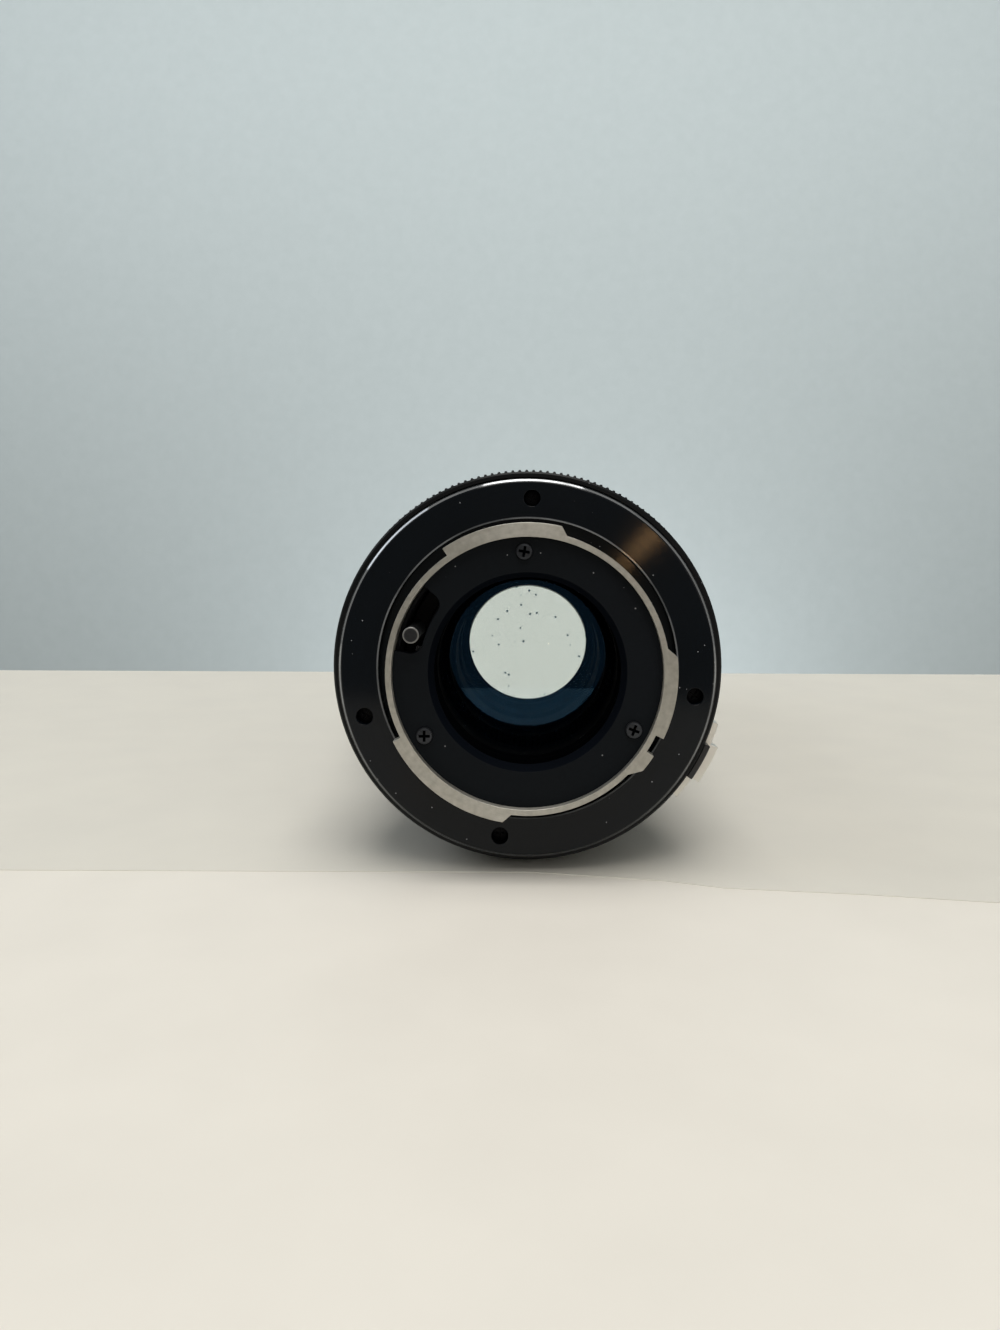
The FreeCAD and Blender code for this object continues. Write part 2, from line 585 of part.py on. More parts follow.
def camSlotShape(angle):
    """The slot that a drive pin slides in: an arc through the pin's places, as wide as the pin."""
    places = [drivePinPlace(angle, closed) for closed in (0.0, 0.5, 1.0)]
    half = size.bladePinRadius.value + size.slotGap.value
    first, middle, last = places
    centre = Part.Arc(first, middle, last).toShape().Curve.Center
    radius = first.distanceToPoint(centre)
    rear, height = cam_ring_rear.value - 1, size.camRingThickness.value + 2

    def out(point, reach):
        return centre + (point - centre).normalize() * (radius + reach) + ABOUT_Y * rear

    edges = [
        Part.Arc(out(first, half), out(middle, half), out(last, half)).toShape(),
        Part.makeLine(out(last, half), out(last, -half)),
        Part.Arc(out(last, -half), out(middle, -half), out(first, -half)).toShape(),
        Part.makeLine(out(first, -half), out(first, half)),
    ]
    up = ABOUT_Y * height
    slot = Part.Face(Part.Wire(edges)).extrude(up)
    ends = [Part.makeCylinder(half, height, point + ABOUT_Y * rear, ABOUT_Y)
            for point in (first, last)]
    return slot.fuse(ends)


cam_ring_blank = turned("cam_ring_blank", band(iris_plate_radius - size.camRingWidth, iris_plate_radius,
                                               cam_ring_rear, cam_ring_front))
cam_ring_ear = turned("cam_ring_ear",
                      band(iris_plate_radius - size.camEarOverlap, arm_outer + size.camEarRise,
                           cam_ring_rear, cam_ring_front),
                      size.armAngle - size.armHalfAngle - size.camEarMarginAngle,
                      size.armAngle + size.armHalfAngle + size.camEarMarginAngle)
fork = turned("cam_ring_fork", band(arm_inner, arm_outer, cam_ring_rear - 1, cam_ring_front + 1),
              size.armAngle - size.armHalfAngle, size.armAngle + size.armHalfAngle)
cam_slots = [shaped(f"cam_slot_{number}", camSlotShape(angle))
             for number, angle in enumerate(blade_angles, start=1)]
keep("iris_cam_ring", cutFrom("cam_ring_cut", joined("cam_ring_fuse", [cam_ring_blank, cam_ring_ear]),
                              cam_slots + [fork]))

# Rear cell with three glasses behind the iris


def dome(name, curve, vertex, towards_front):
    """The ball that a spherical glass face lies on. Its centre is in front of or behind its vertex."""
    ball_shape = doc.addObject("Part::Sphere", name)
    bind(ball_shape, "Radius", curve)
    bindPlace(ball_shape, None, vertex + curve if towards_front else vertex - curve, None)
    return ball_shape


def glass(name, radius, rear, front, bulges=(), hollows=()):
    """A round glass: a disc kept inside its bulging faces and cut by its hollow ones.
    Each face is (curve, vertex, whether its centre lies towards the front)."""
    disc = doc.addObject("Part::Cylinder", f"{name}_disc")
    disc.Placement.Rotation = FreeCAD.Rotation(ABOUT_X, -90)
    bind(disc, "Radius", radius)
    bind(disc, "Height", front - rear)
    bindPlace(disc, None, rear, None)
    ground = disc
    for number, face in enumerate(bulges, start=1):
        common = doc.addObject("Part::Common", f"{name}_bulge_{number}")
        common.Base = ground
        common.Tool = dome(f"{name}_bulge_ball_{number}", *face)
        ground = common
    for number, face in enumerate(hollows, start=1):
        ground = cutFrom(f"{name}_hollow_{number}", ground,
                         [dome(f"{name}_hollow_ball_{number}", *face)])
    return keep(name, ground)


cell_rear = size.centreTubeRear + size.cellSink
cell_front = size.irisSeat - size.slidingGap
rear_glass_place = cell_rear + size.rearGlassSink
cell_step = rear_glass_place + size.rearGlassLength
relay_place = cell_step + size.relaySill
relay_rear_front = relay_place + size.relayRearThickness
relay_front_place = relay_place + size.relayStep
relay_front_end = relay_front_place + size.relayFrontThickness
keep("rear_cell", turned("rear_cell_tube", [
    (rear_glass, cell_rear), (cell_bore, cell_rear), (cell_bore, cell_front),
    (relay_glass, cell_front), (relay_glass, cell_step), (rear_glass, cell_step),
]))
glass("rear_element", rear_glass, rear_glass_place, cell_step,
      bulges=[(size.rearGlassCurve, rear_glass_place, True)])
rear_ring_bore = rear_glass - size.rearRingWall
rear_ring_front = rear_glass_place + sagOf(rear_ring_bore, size.rearGlassCurve)
keep("rear_retaining_ring", turned("rear_ring", band(rear_ring_bore, rear_glass,
                                                     cell_rear + size.rearRingSink, rear_ring_front)))
glass("relay_rear_element", relay_glass, relay_place, relay_rear_front,
      bulges=[(size.relayRearCurve, relay_rear_front, False)])
spacer_bore = relay_glass - size.relaySpacerWall
spacer_seat = relay_rear_front - sagOf(spacer_bore, size.relayRearCurve)
keep("relay_spacer", turned("spacer", band(spacer_bore, relay_glass, spacer_seat,
                                           relay_front_place)))
glass("relay_front_element", relay_glass, relay_front_place, relay_front_end,
      bulges=[(size.relayFrontCurve, relay_front_end, False)])
locking_bore = relay_glass - size.relayRingWall
locking_seat = relay_front_end - sagOf(locking_bore, size.relayFrontCurve)
keep("relay_locking_ring", turned("locking_ring", band(locking_bore, relay_glass, locking_seat,
                                                       cell_front)))

# Aperture ring with its knurled band, the black tab and the silver piece that carries it

ring_bore = bearing_radius + size.runningGap
lip_bore = flange_radius + size.runningGap * 2
lip_front = web_rear + size.runningGap * 2
ring_radius = lip_bore + size.ringLipWall
ring_front_radius = ring_radius - size.ringTaper
knurl_radius = ring_radius + size.knurlHeight
ring_blank = turned("ring_blank", [
    (lip_bore, size.ringRear), (ring_radius - size.ringEdge, size.ringRear),
    (ring_radius, size.ringRear + size.ringEdge), (ring_radius, size.knurlRear),
    (knurl_radius, size.knurlRear + size.knurlSlope),
    (knurl_radius, size.knurlFront - size.knurlSlope), (ring_radius, size.knurlFront),
    (ring_front_radius, size.ringFront), (ring_bore, size.ringFront),
    (ring_bore, lip_front), (lip_bore, lip_front),
])
click_step = size.ringTravelAngle / (size.clickCount - 1)
clicks = [
    spoke(f"click_{number}", size.ballRadius / 2, bearing_radius, ring_bore + size.clickDepth,
          size.ballAngle - click_step * number, size.ballPlace)
    for number in range(int(size.clickCount.value))
]
tab_rear = size.ringRear + size.ringEdge
carrier_rear = tab_rear + size.tabThickness
tab_start = size.tabAngle - size.tabHalfAngle
tab_end = size.tabAngle + size.tabHalfAngle
keep("coupling_tab", turned("tab_block", band(ring_radius, ring_radius + size.tabRise,
                                              tab_rear, carrier_rear), tab_start, tab_end))
carrier_front = carrier_rear + size.carrierThickness
block = turned("carrier_block", band(ring_radius, ring_radius + size.carrierRise,
                                     carrier_rear, carrier_front), tab_start, tab_end)
wings = turned("carrier_wings", band(ring_radius, ring_radius + size.wingRise,
                                     carrier_rear, carrier_front),
               size.wingLowerAngle, size.wingUpperAngle)
screw_place = carrier_rear + size.carrierThickness / 2
carrier_top = ring_radius + size.carrierRise
screw_seat = carrier_top - size.tabScrewHead / 2
tab_screws = []
tab_screw_holes = []
ring_screw_holes = []
for number, offset in enumerate((-size.tabScrewAngle, size.tabScrewAngle), start=1):
    angle = size.tabAngle + offset
    head = spoke(f"tab_head_{number}", size.tabScrewHead, screw_seat, carrier_top, angle, screw_place)
    shank = spoke(f"tab_shank_{number}", size.tabScrewRadius, ring_bore + 0.5, carrier_top, angle,
                  screw_place)
    tab_screws.append(joined(f"tab_screw_{number}", [head, shank]))
    tab_screw_holes.append(spoke(f"tab_sink_{number}", size.tabScrewHead, screw_seat,
                                 carrier_top + 1, angle, screw_place))
    tab_screw_holes.append(spoke(f"tab_bore_{number}", size.tabScrewRadius,
                                 ring_radius - 1, carrier_top, angle, screw_place))
    ring_screw_holes.append(spoke(f"ring_bore_{number}", size.tabScrewRadius, ring_bore + 0.5,
                                  ring_radius + 1, angle, screw_place))
keep("aperture_ring", cutFrom("ring_cut", ring_blank, clicks + ring_screw_holes))
keep("tab_carrier", cutFrom("carrier_cut", joined("carrier_fuse", [block, wings]), tab_screw_holes))
keep("tab_screws", grouped("tab_screw_set", tab_screws))

# Collar in front of the aperture ring, with its set screws

collar_rear = size.ringFront + size.runningGap * 2
collar_radius = ring_front_radius
barrel_radius = bearing_bore
collar_blank = turned("collar_blank", [
    (bearing_radius, collar_rear), (collar_radius, collar_rear),
    (collar_radius, size.collarFront - size.collarChamfer),
    (collar_radius - size.collarChamfer, size.collarFront),
    (barrel_radius, size.collarFront), (barrel_radius, size.bearingFront),
    (bearing_radius, size.bearingFront),
])
set_screw_place = collar_rear + (size.collarFront - collar_rear) * 0.4
set_screws = []
set_screw_holes = []
for number in range(3):
    angle = Size(f"{30.0 + 120.0 * number}", 30.0 + 120.0 * number)
    set_screws.append(spoke(f"set_screw_{number + 1}", size.setScrewRadius, bearing_radius,
                            collar_radius - size.setScrewSink, angle, set_screw_place))
    set_screw_holes.append(spoke(f"set_hole_{number + 1}", size.setScrewRadius,
                                 bearing_radius - 0.5, collar_radius + 0.5, angle,
                                 set_screw_place))
keep("barrel_collar", cutFrom("collar_cut", collar_blank, set_screw_holes))
keep("collar_set_screws", grouped("set_screw_set", set_screws))

# Main barrel: the fixed tube, with straight slots for the zoom pins and blind guide grooves

barrel_bore = barrel_radius - size.barrelWall
lip_bore_radius = barrel_bore - size.barrelLip
barrel_lip_front = size.camTubeRear - size.slidingGap
barrel_lip_rear = barrel_lip_front - size.barrelLipThickness
barrel_blank = turned("barrel_blank", [
    (barrel_bore, size.barrelRear), (barrel_radius, size.barrelRear),
    (barrel_radius, size.barrelFront), (barrel_bore, size.barrelFront),
    (barrel_bore, barrel_lip_front), (lip_bore_radius, barrel_lip_front),
    (lip_bore_radius, barrel_lip_rear), (barrel_bore, barrel_lip_rear),
])
slot_half = size.pinRadius + size.slotGap
zoom_angles = [size.zoomPinAngle, size.zoomPinAngle + 120, size.zoomPinAngle + 240]
guide_angles = [size.compensatorPinAngle, size.compensatorPinAngle + 120,
                size.compensatorPinAngle + 240]


def straightSlot(name, inner, outer, angle, rear, front):
    """A slot along the barrel, for a pin that slides between two places."""
    half_angle = angleAcross(slot_half, inner)
    return turned(name, band(inner, outer, rear - slot_half, front + slot_half), angle - half_angle,
                  angle + half_angle)


zoom_slots = [
    straightSlot(f"zoom_slot_{number}", barrel_bore - 0.4, barrel_radius + 0.4, angle,
                 size.zoomPinPlace - size.zoomTravel - size.slotGap,
                 size.zoomPinPlace + size.slotGap)
    for number, angle in enumerate(zoom_angles, start=1)
]
guide_grooves = [
    straightSlot(f"guide_groove_{number}", barrel_bore - 0.4, barrel_bore + size.guideGrooveDepth,
                 angle, size.compensatorPinPlace - size.compensatorTravel - size.slotGap,
                 size.compensatorPinPlace + size.slotGap)
    for number, angle in enumerate(guide_angles, start=1)
]
keep("main_barrel", cutFrom("barrel_cut", barrel_blank, zoom_slots + guide_grooves))

# Cam tube: its two sets of helical slots drive the compensator as the zoom pins turn it

cam_radius = barrel_bore - size.slidingGap
cam_bore = cam_radius - size.camTubeWall
cam_blank = turned("cam_blank", band(cam_bore, cam_radius, size.camTubeRear, size.camTubeFront))


def helicalSlot(name, angle, place, travel):
    """A slot that climbs by travel over camTurnAngle and ends at a pin's rest place."""
    inner, outer = cam_bore.value - 0.6, cam_radius.value + 0.6
    middle = (inner + outer) / 2
    turn = size.camTurnAngle.value
    lead = travel * 360.0 / turn
    slope = math.atan2(travel, math.radians(turn) * middle)
    half = (size.pinRadius.value + size.slotGap.value) / math.cos(slope)
    over = math.degrees((size.pinRadius.value + size.slotGap.value) * 1.15 / middle)
    height = lead * (turn + 2 * over) / 360.0
    helix = Part.makeHelix(lead, height, middle, 0, True)
    corners = [(inner, -half), (outer, -half), (outer, half), (inner, half), (inner, -half)]
    profile = Part.makePolygon([FreeCAD.Vector(r, 0, along) for r, along in corners])
    slot = Part.Wire(helix.Edges).makePipeShell([profile], True, True)
    slot.rotate(FreeCAD.Vector(0, 0, 0), ABOUT_X, -90)
    slot.rotate(FreeCAD.Vector(0, 0, 0), ABOUT_Y, -(angle - turn - over))
    slot.translate(FreeCAD.Vector(0, place - travel - lead * over / 360.0, 0))
    return shaped(name, slot)


cam_slot_tools = [
    helicalSlot(f"zoom_cam_{number}", angle.value, size.zoomPinPlace.value, size.zoomTravel.value)
    for number, angle in enumerate(zoom_angles, start=1)
] + [
    helicalSlot(f"compensator_cam_{number}", angle.value, size.compensatorPinPlace.value,
                size.compensatorTravel.value)
    for number, angle in enumerate(guide_angles, start=1)
]
keep("cam_tube", cutFrom("cam_cut", cam_blank, cam_slot_tools))
cam_stop_rear = size.camTubeFront + size.slidingGap
keep("cam_retaining_ring", turned("cam_stop", band(lip_bore_radius, barrel_bore, cam_stop_rear,
                                                   cam_stop_rear + size.stopRingThickness)))

# Variator: the carriage with its glasses, the zoom pins and the zoom ring outside the barrel

carriage_radius = cam_bore - size.slidingGap
carriage_bore = carriage_radius - size.carriageWall
pin_to_web = size.pinRadius + size.pinSeat
zoom_ring_bore = barrel_radius + size.runningGap
zoom_ring_radius = zoom_ring_bore + size.zoomRingWall
groove_floor = zoom_ring_radius - size.keyGrooveDepth


def carriage(name, place, glass_radius, tube_reach, angles, pin_outer):
    """A ring that slides inside the cam tube, its web, its glass tube and its three pins."""
    tube_outer = glass_radius + size.variatorTube
    web = place - size.carriageWeb
    ring_rear = place - size.carriageHalfLength
    ring_front = place + size.carriageHalfLength
    blank = turned(f"{name}_blank", [
        (glass_radius, place - tube_reach), (tube_outer, place - tube_reach), (tube_outer, web),
        (carriage_bore, web), (carriage_bore, ring_rear), (carriage_radius, ring_rear),
        (carriage_radius, ring_front), (carriage_bore, ring_front), (carriage_bore, place),
        (glass_radius, place),
    ])
    pins = []
    holes = []
    for number, angle in enumerate(angles, start=1):
        pins.append(spoke(f"{name}_pin_{number}", size.pinRadius, carriage_bore + size.pinSink,
                          pin_outer, angle, place + pin_to_web))
        holes.append(spoke(f"{name}_hole_{number}", size.pinRadius, carriage_bore + size.pinSink,
                           carriage_radius + 1, angle, place + pin_to_web))
    keep(name, cutFrom(f"{name}_cut", blank, holes))
    return pins


zoom_pins = carriage("variator_cell", size.zoomPinPlace - pin_to_web, size.variatorGlass,
                     size.variatorTubeRear, zoom_angles, groove_floor)
keep("zoom_pins", grouped("zoom_pin_set", zoom_pins))
variator_rear = size.zoomPinPlace - pin_to_web - size.variatorTubeRear
variator_front = size.zoomPinPlace - pin_to_web
variator_rear_front = variator_rear + size.variatorRearThickness
variator_front_rear = variator_rear_front + size.variatorAirGap
glass("variator_rear_element", size.variatorGlass, variator_rear, variator_rear_front,
      hollows=[(size.variatorRearCurve, variator_rear + size.variatorRearHollow, False)])
glass("variator_front_element", size.variatorGlass, variator_front_rear, variator_front,
      hollows=[(size.variatorFrontCurve, variator_front - size.variatorFrontHollow, True)])
keep("variator_spacer", turned("variator_gap",
                               band(size.variatorGlass - size.variatorSpacerWall,
                                    size.variatorGlass, variator_rear_front, variator_front_rear)))
compensator_pins = carriage("compensator_cell", size.compensatorPinPlace - pin_to_web,
                            size.compensatorGlass, size.carriageHalfLength, guide_angles,
                            barrel_bore + size.guideGrooveDepth - size.runningGap)
keep("compensator_pins", grouped("compensator_pin_set", compensator_pins))
compensator_front = size.compensatorPinPlace - pin_to_web
glass("compensator_element", size.compensatorGlass, compensator_front - size.compensatorThickness,
      compensator_front,
      hollows=[(size.compensatorCurve, compensator_front - size.compensatorHollow, True)])

ring_rear = size.zoomPinPlace - size.zoomRingHalfLength
ring_front = size.zoomPinPlace + size.zoomRingHalfLength
groove_rear = size.zoomPinPlace - size.keyGrooveHalfLength
groove_front = size.zoomPinPlace + size.keyGrooveHalfLength
zoom_ring_blank = turned("zoom_ring_blank", [
    (zoom_ring_bore, ring_rear), (zoom_ring_radius, ring_rear),
    (zoom_ring_radius, groove_rear), (groove_floor, groove_rear), (groove_floor, groove_front),
    (zoom_ring_radius, groove_front), (zoom_ring_radius, ring_front),
    (zoom_ring_bore, ring_front),
])
zoom_ring_holes = [
    spoke(f"zoom_ring_hole_{number}", size.pinRadius, zoom_ring_bore - 0.5, groove_floor + 0.3,
          angle, size.zoomPinPlace)
    for number, angle in enumerate(zoom_angles, start=1)
]
keep("zoom_ring", cutFrom("zoom_ring_cut", zoom_ring_blank, zoom_ring_holes))

# Focus sleeve: turns on the main barrel, is turned by the grip's keys and turns the front barrel

sleeve_inner = zoom_ring_radius + size.runningGap
sleeve_outer = sleeve_inner + size.sleeveThickness
bearing_rear = size.sleeveFront - size.sleeveBearing
sleeve_blank = turned("sleeve_blank", [
    (sleeve_inner, size.sleeveRear), (sleeve_outer, size.sleeveRear),
    (sleeve_outer, size.sleeveFront), (zoom_ring_bore, size.sleeveFront),
    (zoom_ring_bore, bearing_rear), (sleeve_inner, bearing_rear),
])
key_angles = [Size(f"{30.0 + 120.0 * number}", 30.0 + 120.0 * number) for number in range(3)]
key_gap = angleAcross(size.slotGap, sleeve_inner)
tongues = [
    turned(f"tongue_{number}", band(sleeve_inner, sleeve_outer, size.sleeveFront - 1,
                                    size.sleeveFront + size.tongueLength),
           angle - size.tongueHalfAngle, angle + size.tongueHalfAngle)
    for number, angle in enumerate(key_angles, start=1)
]
key_slots = [
    turned(f"key_slot_{number}",
           band(sleeve_inner - 0.5, sleeve_outer + 0.5,
                size.zoomPinPlace - size.zoomTravel - size.keyHalfLength - size.slidingGap,
                size.zoomPinPlace + size.keyHalfLength + size.slidingGap),
           angle - size.keyHalfAngle - key_gap, angle + size.keyHalfAngle + key_gap)
    for number, angle in enumerate(key_angles, start=1)
]
keep("focus_sleeve", cutFrom("sleeve_cut", joined("sleeve_fuse", [sleeve_blank] + tongues),
                             key_slots))
stop_ring_radius = barrel_radius + size.stopRingWidth
rear_stop_front = bearing_rear - size.slidingGap
front_stop_rear = size.sleeveFront + size.slidingGap
stop_rings = [
    turned(name, band(barrel_radius, stop_ring_radius, rear, rear + size.stopRingThickness))
    for name, rear in (("rear_stop", rear_stop_front - size.stopRingThickness),
                       ("front_stop", front_stop_rear))
]
keep("sleeve_stop_rings", grouped("stop_ring_set", stop_rings))

# Grip: slides to zoom and turns to focus

grip_inner = sleeve_outer + size.runningGap
grip_outer = grip_inner + size.gripWall
grip_rim_radius = grip_outer + size.gripRimRise
scale_land_radius = grip_outer + size.scaleLandRise
rubber_radius = grip_outer + size.rubberThickness
rubber_rear = size.gripRear + size.gripRimLength
rubber_front = size.gripFront - size.scaleLandLength
grip_blank = turned("grip_blank", [
    (zoom_ring_bore, size.gripRear), (grip_rim_radius - size.gripChamfer, size.gripRear),
    (grip_rim_radius, size.gripRear + size.gripChamfer), (grip_rim_radius, rubber_rear),
    (grip_outer, rubber_rear), (grip_outer, rubber_front), (scale_land_radius, rubber_front),
    (scale_land_radius, size.gripFront - size.gripChamfer),
    (scale_land_radius - size.gripChamfer, size.gripFront),
    (grip_inner, size.gripFront), (grip_inner, size.gripRear + size.gripLip),
    (zoom_ring_bore, size.gripRear + size.gripLip),
])
keep("grip_sleeve", grip_blank)
grip_keys = [
    turned(f"grip_key_{number}",
           band(groove_floor + size.slotGap, grip_inner, size.zoomPinPlace - size.keyHalfLength,
                size.zoomPinPlace + size.keyHalfLength),
           angle - size.keyHalfAngle, angle + size.keyHalfAngle)
    for number, angle in enumerate(key_angles, start=1)
]
keep("grip_keys", grouped("grip_key_set", grip_keys))
rubber_blank = turned("rubber_blank", band(grip_outer, rubber_radius, rubber_rear, rubber_front))
rubber_step = 360.0 / int(size.rubberRibs.value)
rubber_grooves = [
    turned(f"rubber_groove_{number}",
           band(rubber_radius - size.rubberGrooveDepth, rubber_radius + 1,
                rubber_rear + size.rubberBorder, rubber_front - size.rubberBorder),
           Size(f"{rubber_step * number}", rubber_step * number) - size.rubberGrooveHalfAngle,
           Size(f"{rubber_step * number}", rubber_step * number) + size.rubberGrooveHalfAngle)
    for number in range(int(size.rubberRibs.value))
]
keep("rubber_grip", cutFrom("rubber_cut", rubber_blank, rubber_grooves))

# Helicoid tube, front barrel, bezel and the front cell with its glasses

helicoid_radius = barrel_bore - size.slidingGap
helicoid_bore = helicoid_radius - size.helicoidWall
keep("helicoid_tube", turned("helicoid", band(helicoid_bore, helicoid_radius, size.helicoidRear,
                                              size.frontWebRear)))
filter_rear = size.frontWebFront + size.bezelThickness
front_end = filter_rear + size.filterDepth
front_bore = barrel_radius + size.frontBoreGap
tongue_slot_outer = sleeve_outer + size.runningGap
skirt_radius = tongue_slot_outer + size.skirtWall
rim_radius = skirt_radius + size.rimRise
bezel_radius = helicoid_bore + size.bezelLand
filter_radius = bezel_radius + size.filterLand
front_blank = turned("front_blank", [
    (front_bore, size.frontRear), (tongue_slot_outer, size.frontRear),
    (tongue_slot_outer, size.skirtRear), (skirt_radius, size.skirtRear),
    (skirt_radius, size.rimRear), (rim_radius, size.rimRear + size.rimSlope),
    (rim_radius, front_end - size.frontChamfer),
    (rim_radius - size.frontChamfer, front_end), (filter_radius, front_end),
    (filter_radius, filter_rear), (bezel_radius, filter_rear),
    (bezel_radius, size.frontWebFront), (helicoid_bore, size.frontWebFront),
    (helicoid_bore, size.frontWebRear), (front_bore, size.frontWebRear),
])
tongue_slots = [
    turned(f"tongue_slot_{number}",
           band(sleeve_inner - size.runningGap, tongue_slot_outer, size.frontRear - 1,
                size.frontWebRear),
           angle - size.tongueHalfAngle - key_gap, angle + size.tongueHalfAngle + key_gap)
    for number, angle in enumerate(key_angles, start=1)
]
keep("front_barrel", cutFrom("front_cut", front_blank, tongue_slots))
front_glass = helicoid_bore - size.frontCellWall
keep("front_bezel", turned("bezel", [
    (front_glass - size.bezelLip, size.frontWebFront), (bezel_radius, size.frontWebFront),
    (bezel_radius, filter_rear), (front_glass, filter_rear),
]))
cell_rear_end = size.frontWebRear - size.frontCellLength
singlet_rear = cell_rear_end + size.frontCellSill
singlet_front = singlet_rear + size.singletThickness
front_vertex = size.frontWebFront - size.frontGlassSink
crown_rear = front_vertex - size.crownThickness
flint_rear = crown_rear - size.flintThickness
sill_bore = front_glass - size.frontCellLip
keep("front_cell", turned("front_cell_tube", [
    (sill_bore, cell_rear_end), (helicoid_bore, cell_rear_end),
    (helicoid_bore, size.frontWebFront), (front_glass, size.frontWebFront),
    (front_glass, singlet_rear), (sill_bore, singlet_rear),
]))
glass("front_crown_element", front_glass, flint_rear, front_vertex,
      bulges=[(size.crownFrontCurve, front_vertex, False), (size.crownRearCurve, crown_rear, True)])
glass("front_flint_element", front_glass, flint_rear, crown_rear + size.flintThickness,
      hollows=[(size.crownRearCurve, crown_rear, True)])
glass("front_singlet", front_glass, singlet_rear, singlet_front,
      bulges=[(size.singletCurve, singlet_front, False)])
front_spacer_bore = front_glass - size.frontSpacerWall
front_spacer_rear = singlet_front - sagOf(front_spacer_bore, size.singletCurve)
keep("front_spacer", turned("front_gap", band(front_spacer_bore, front_glass, front_spacer_rear,
                                              flint_rear)))

# Every object is tested, then each sub-part goes to its own file

doc.recompute()
for thing in doc.Objects:
    if "Invalid" in thing.State or "Error" in thing.State:
        raise RuntimeError(f"{thing.Name} did not compute: {thing.State}")
for node, thing in pieces.items():
    if thing.Shape.isNull() or not thing.Shape.isValid() or not thing.Shape.Solids:
        raise RuntimeError(f"{node} has no valid solid")
os.makedirs("parts", exist_ok=True)
for node, thing in pieces.items():
    thing.Shape.exportStep(f"parts/{node}.step")
print(f"{len(pieces)} sub-parts, {sum(len(t.Shape.Solids) for t in pieces.values())} solids")
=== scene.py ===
import math

import bmesh
import bpy
from mathutils import Matrix, Vector


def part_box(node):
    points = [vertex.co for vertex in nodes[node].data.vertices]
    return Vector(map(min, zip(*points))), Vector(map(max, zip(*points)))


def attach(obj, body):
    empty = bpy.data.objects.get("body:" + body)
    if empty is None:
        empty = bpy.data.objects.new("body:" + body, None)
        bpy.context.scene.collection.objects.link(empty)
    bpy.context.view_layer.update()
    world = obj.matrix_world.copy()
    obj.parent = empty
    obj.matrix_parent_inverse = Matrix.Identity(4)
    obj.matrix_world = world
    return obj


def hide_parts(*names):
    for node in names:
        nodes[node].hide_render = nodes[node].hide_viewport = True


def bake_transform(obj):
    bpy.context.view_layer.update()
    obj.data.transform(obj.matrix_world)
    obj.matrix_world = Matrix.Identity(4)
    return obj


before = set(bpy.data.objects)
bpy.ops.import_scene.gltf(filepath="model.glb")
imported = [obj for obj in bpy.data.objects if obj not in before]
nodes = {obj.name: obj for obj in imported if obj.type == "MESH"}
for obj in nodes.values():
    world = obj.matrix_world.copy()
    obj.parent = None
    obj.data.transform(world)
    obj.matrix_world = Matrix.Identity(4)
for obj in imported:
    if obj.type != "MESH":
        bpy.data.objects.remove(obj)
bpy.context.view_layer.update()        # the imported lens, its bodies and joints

mm = 0.001
print("frame loaded:", len(nodes), "nodes")

# The lens lies along Y with its bayonet towards the camera. Angles are seen from the bayonet:
# 0 is +X (right), 90 is +Z (up). Sizes are in mm, and in metres for the lamps and the camera.


def polar(radius, angle, place):
    turn = math.radians(angle)
    return Vector((radius * math.cos(turn), place, radius * math.sin(turn))) * mm


def linear(hexText):
    values = [int(hexText[i:i + 2], 16) / 255 for i in (1, 3, 5)]
    return [v / 12.92 if v <= 0.04045 else ((v + 0.055) / 1.055) ** 2.4 for v in values] + [1.0]


def addNode(tree, kind, inputs=None, **settings):
    # an input takes a value, a socket, or a node that stands for its first socket
    node = tree.nodes.new(kind)
    for key, value in settings.items():
        setattr(node, key, value)
    for key, value in (inputs or {}).items():
        if isinstance(value, bpy.types.Node):
            value = value.outputs[0]
        if isinstance(value, bpy.types.NodeSocket):
            tree.links.new(value, node.inputs[key])
        else:
            node.inputs[key].default_value = value
    return node


def newTree(name, kind, inputs, outputs):
    # an empty tree with its named sockets
    tree = bpy.data.node_groups.new(name, kind)
    for way, sockets in (("INPUT", inputs), ("OUTPUT", outputs)):
        for label, socket in sockets.items():
            tree.interface.new_socket(name=label, in_out=way, socket_type=f"NodeSocket{socket}")
    return tree


def newMaterial(name):
    material = bpy.data.materials.new(name)
    material.use_nodes = True
    material.node_tree.nodes.clear()
    return material, material.node_tree


# Materials

# lathe marks follow the axis of the lens: slow round it, fast across it
latheMarks = tree = newTree("latheMarks", "ShaderNodeTree", {"Around": "Float", "Across": "Float"},
                            {"Vector": "Vector"})
ways = addNode(tree, "NodeGroupInput")
spot = addNode(tree, "ShaderNodeTexCoord").outputs["Object"]
parts = addNode(tree, "ShaderNodeSeparateXYZ", {0: spot})
flat = addNode(tree, "ShaderNodeCombineXYZ", {"X": parts.outputs["X"], "Z": parts.outputs["Z"]})
reach = addNode(tree, "ShaderNodeVectorMath", {0: flat}, operation="LENGTH")
outward = addNode(tree, "ShaderNodeVectorMath", {0: flat}, operation="NORMALIZE")
around = addNode(tree, "ShaderNodeVectorMath", {0: outward, "Scale": ways.outputs["Around"]},
                 operation="SCALE")
path = addNode(tree, "ShaderNodeMath", {0: reach.outputs["Value"], 1: parts.outputs["Y"]}, operation="ADD")
steps = addNode(tree, "ShaderNodeMath", {0: path, 1: ways.outputs["Across"]}, operation="MULTIPLY")
lift = addNode(tree, "ShaderNodeCombineXYZ", {"Y": steps})
total = addNode(tree, "ShaderNodeVectorMath", {0: around, 1: lift}, operation="ADD")
addNode(tree, "NodeGroupOutput", {"Vector": total})

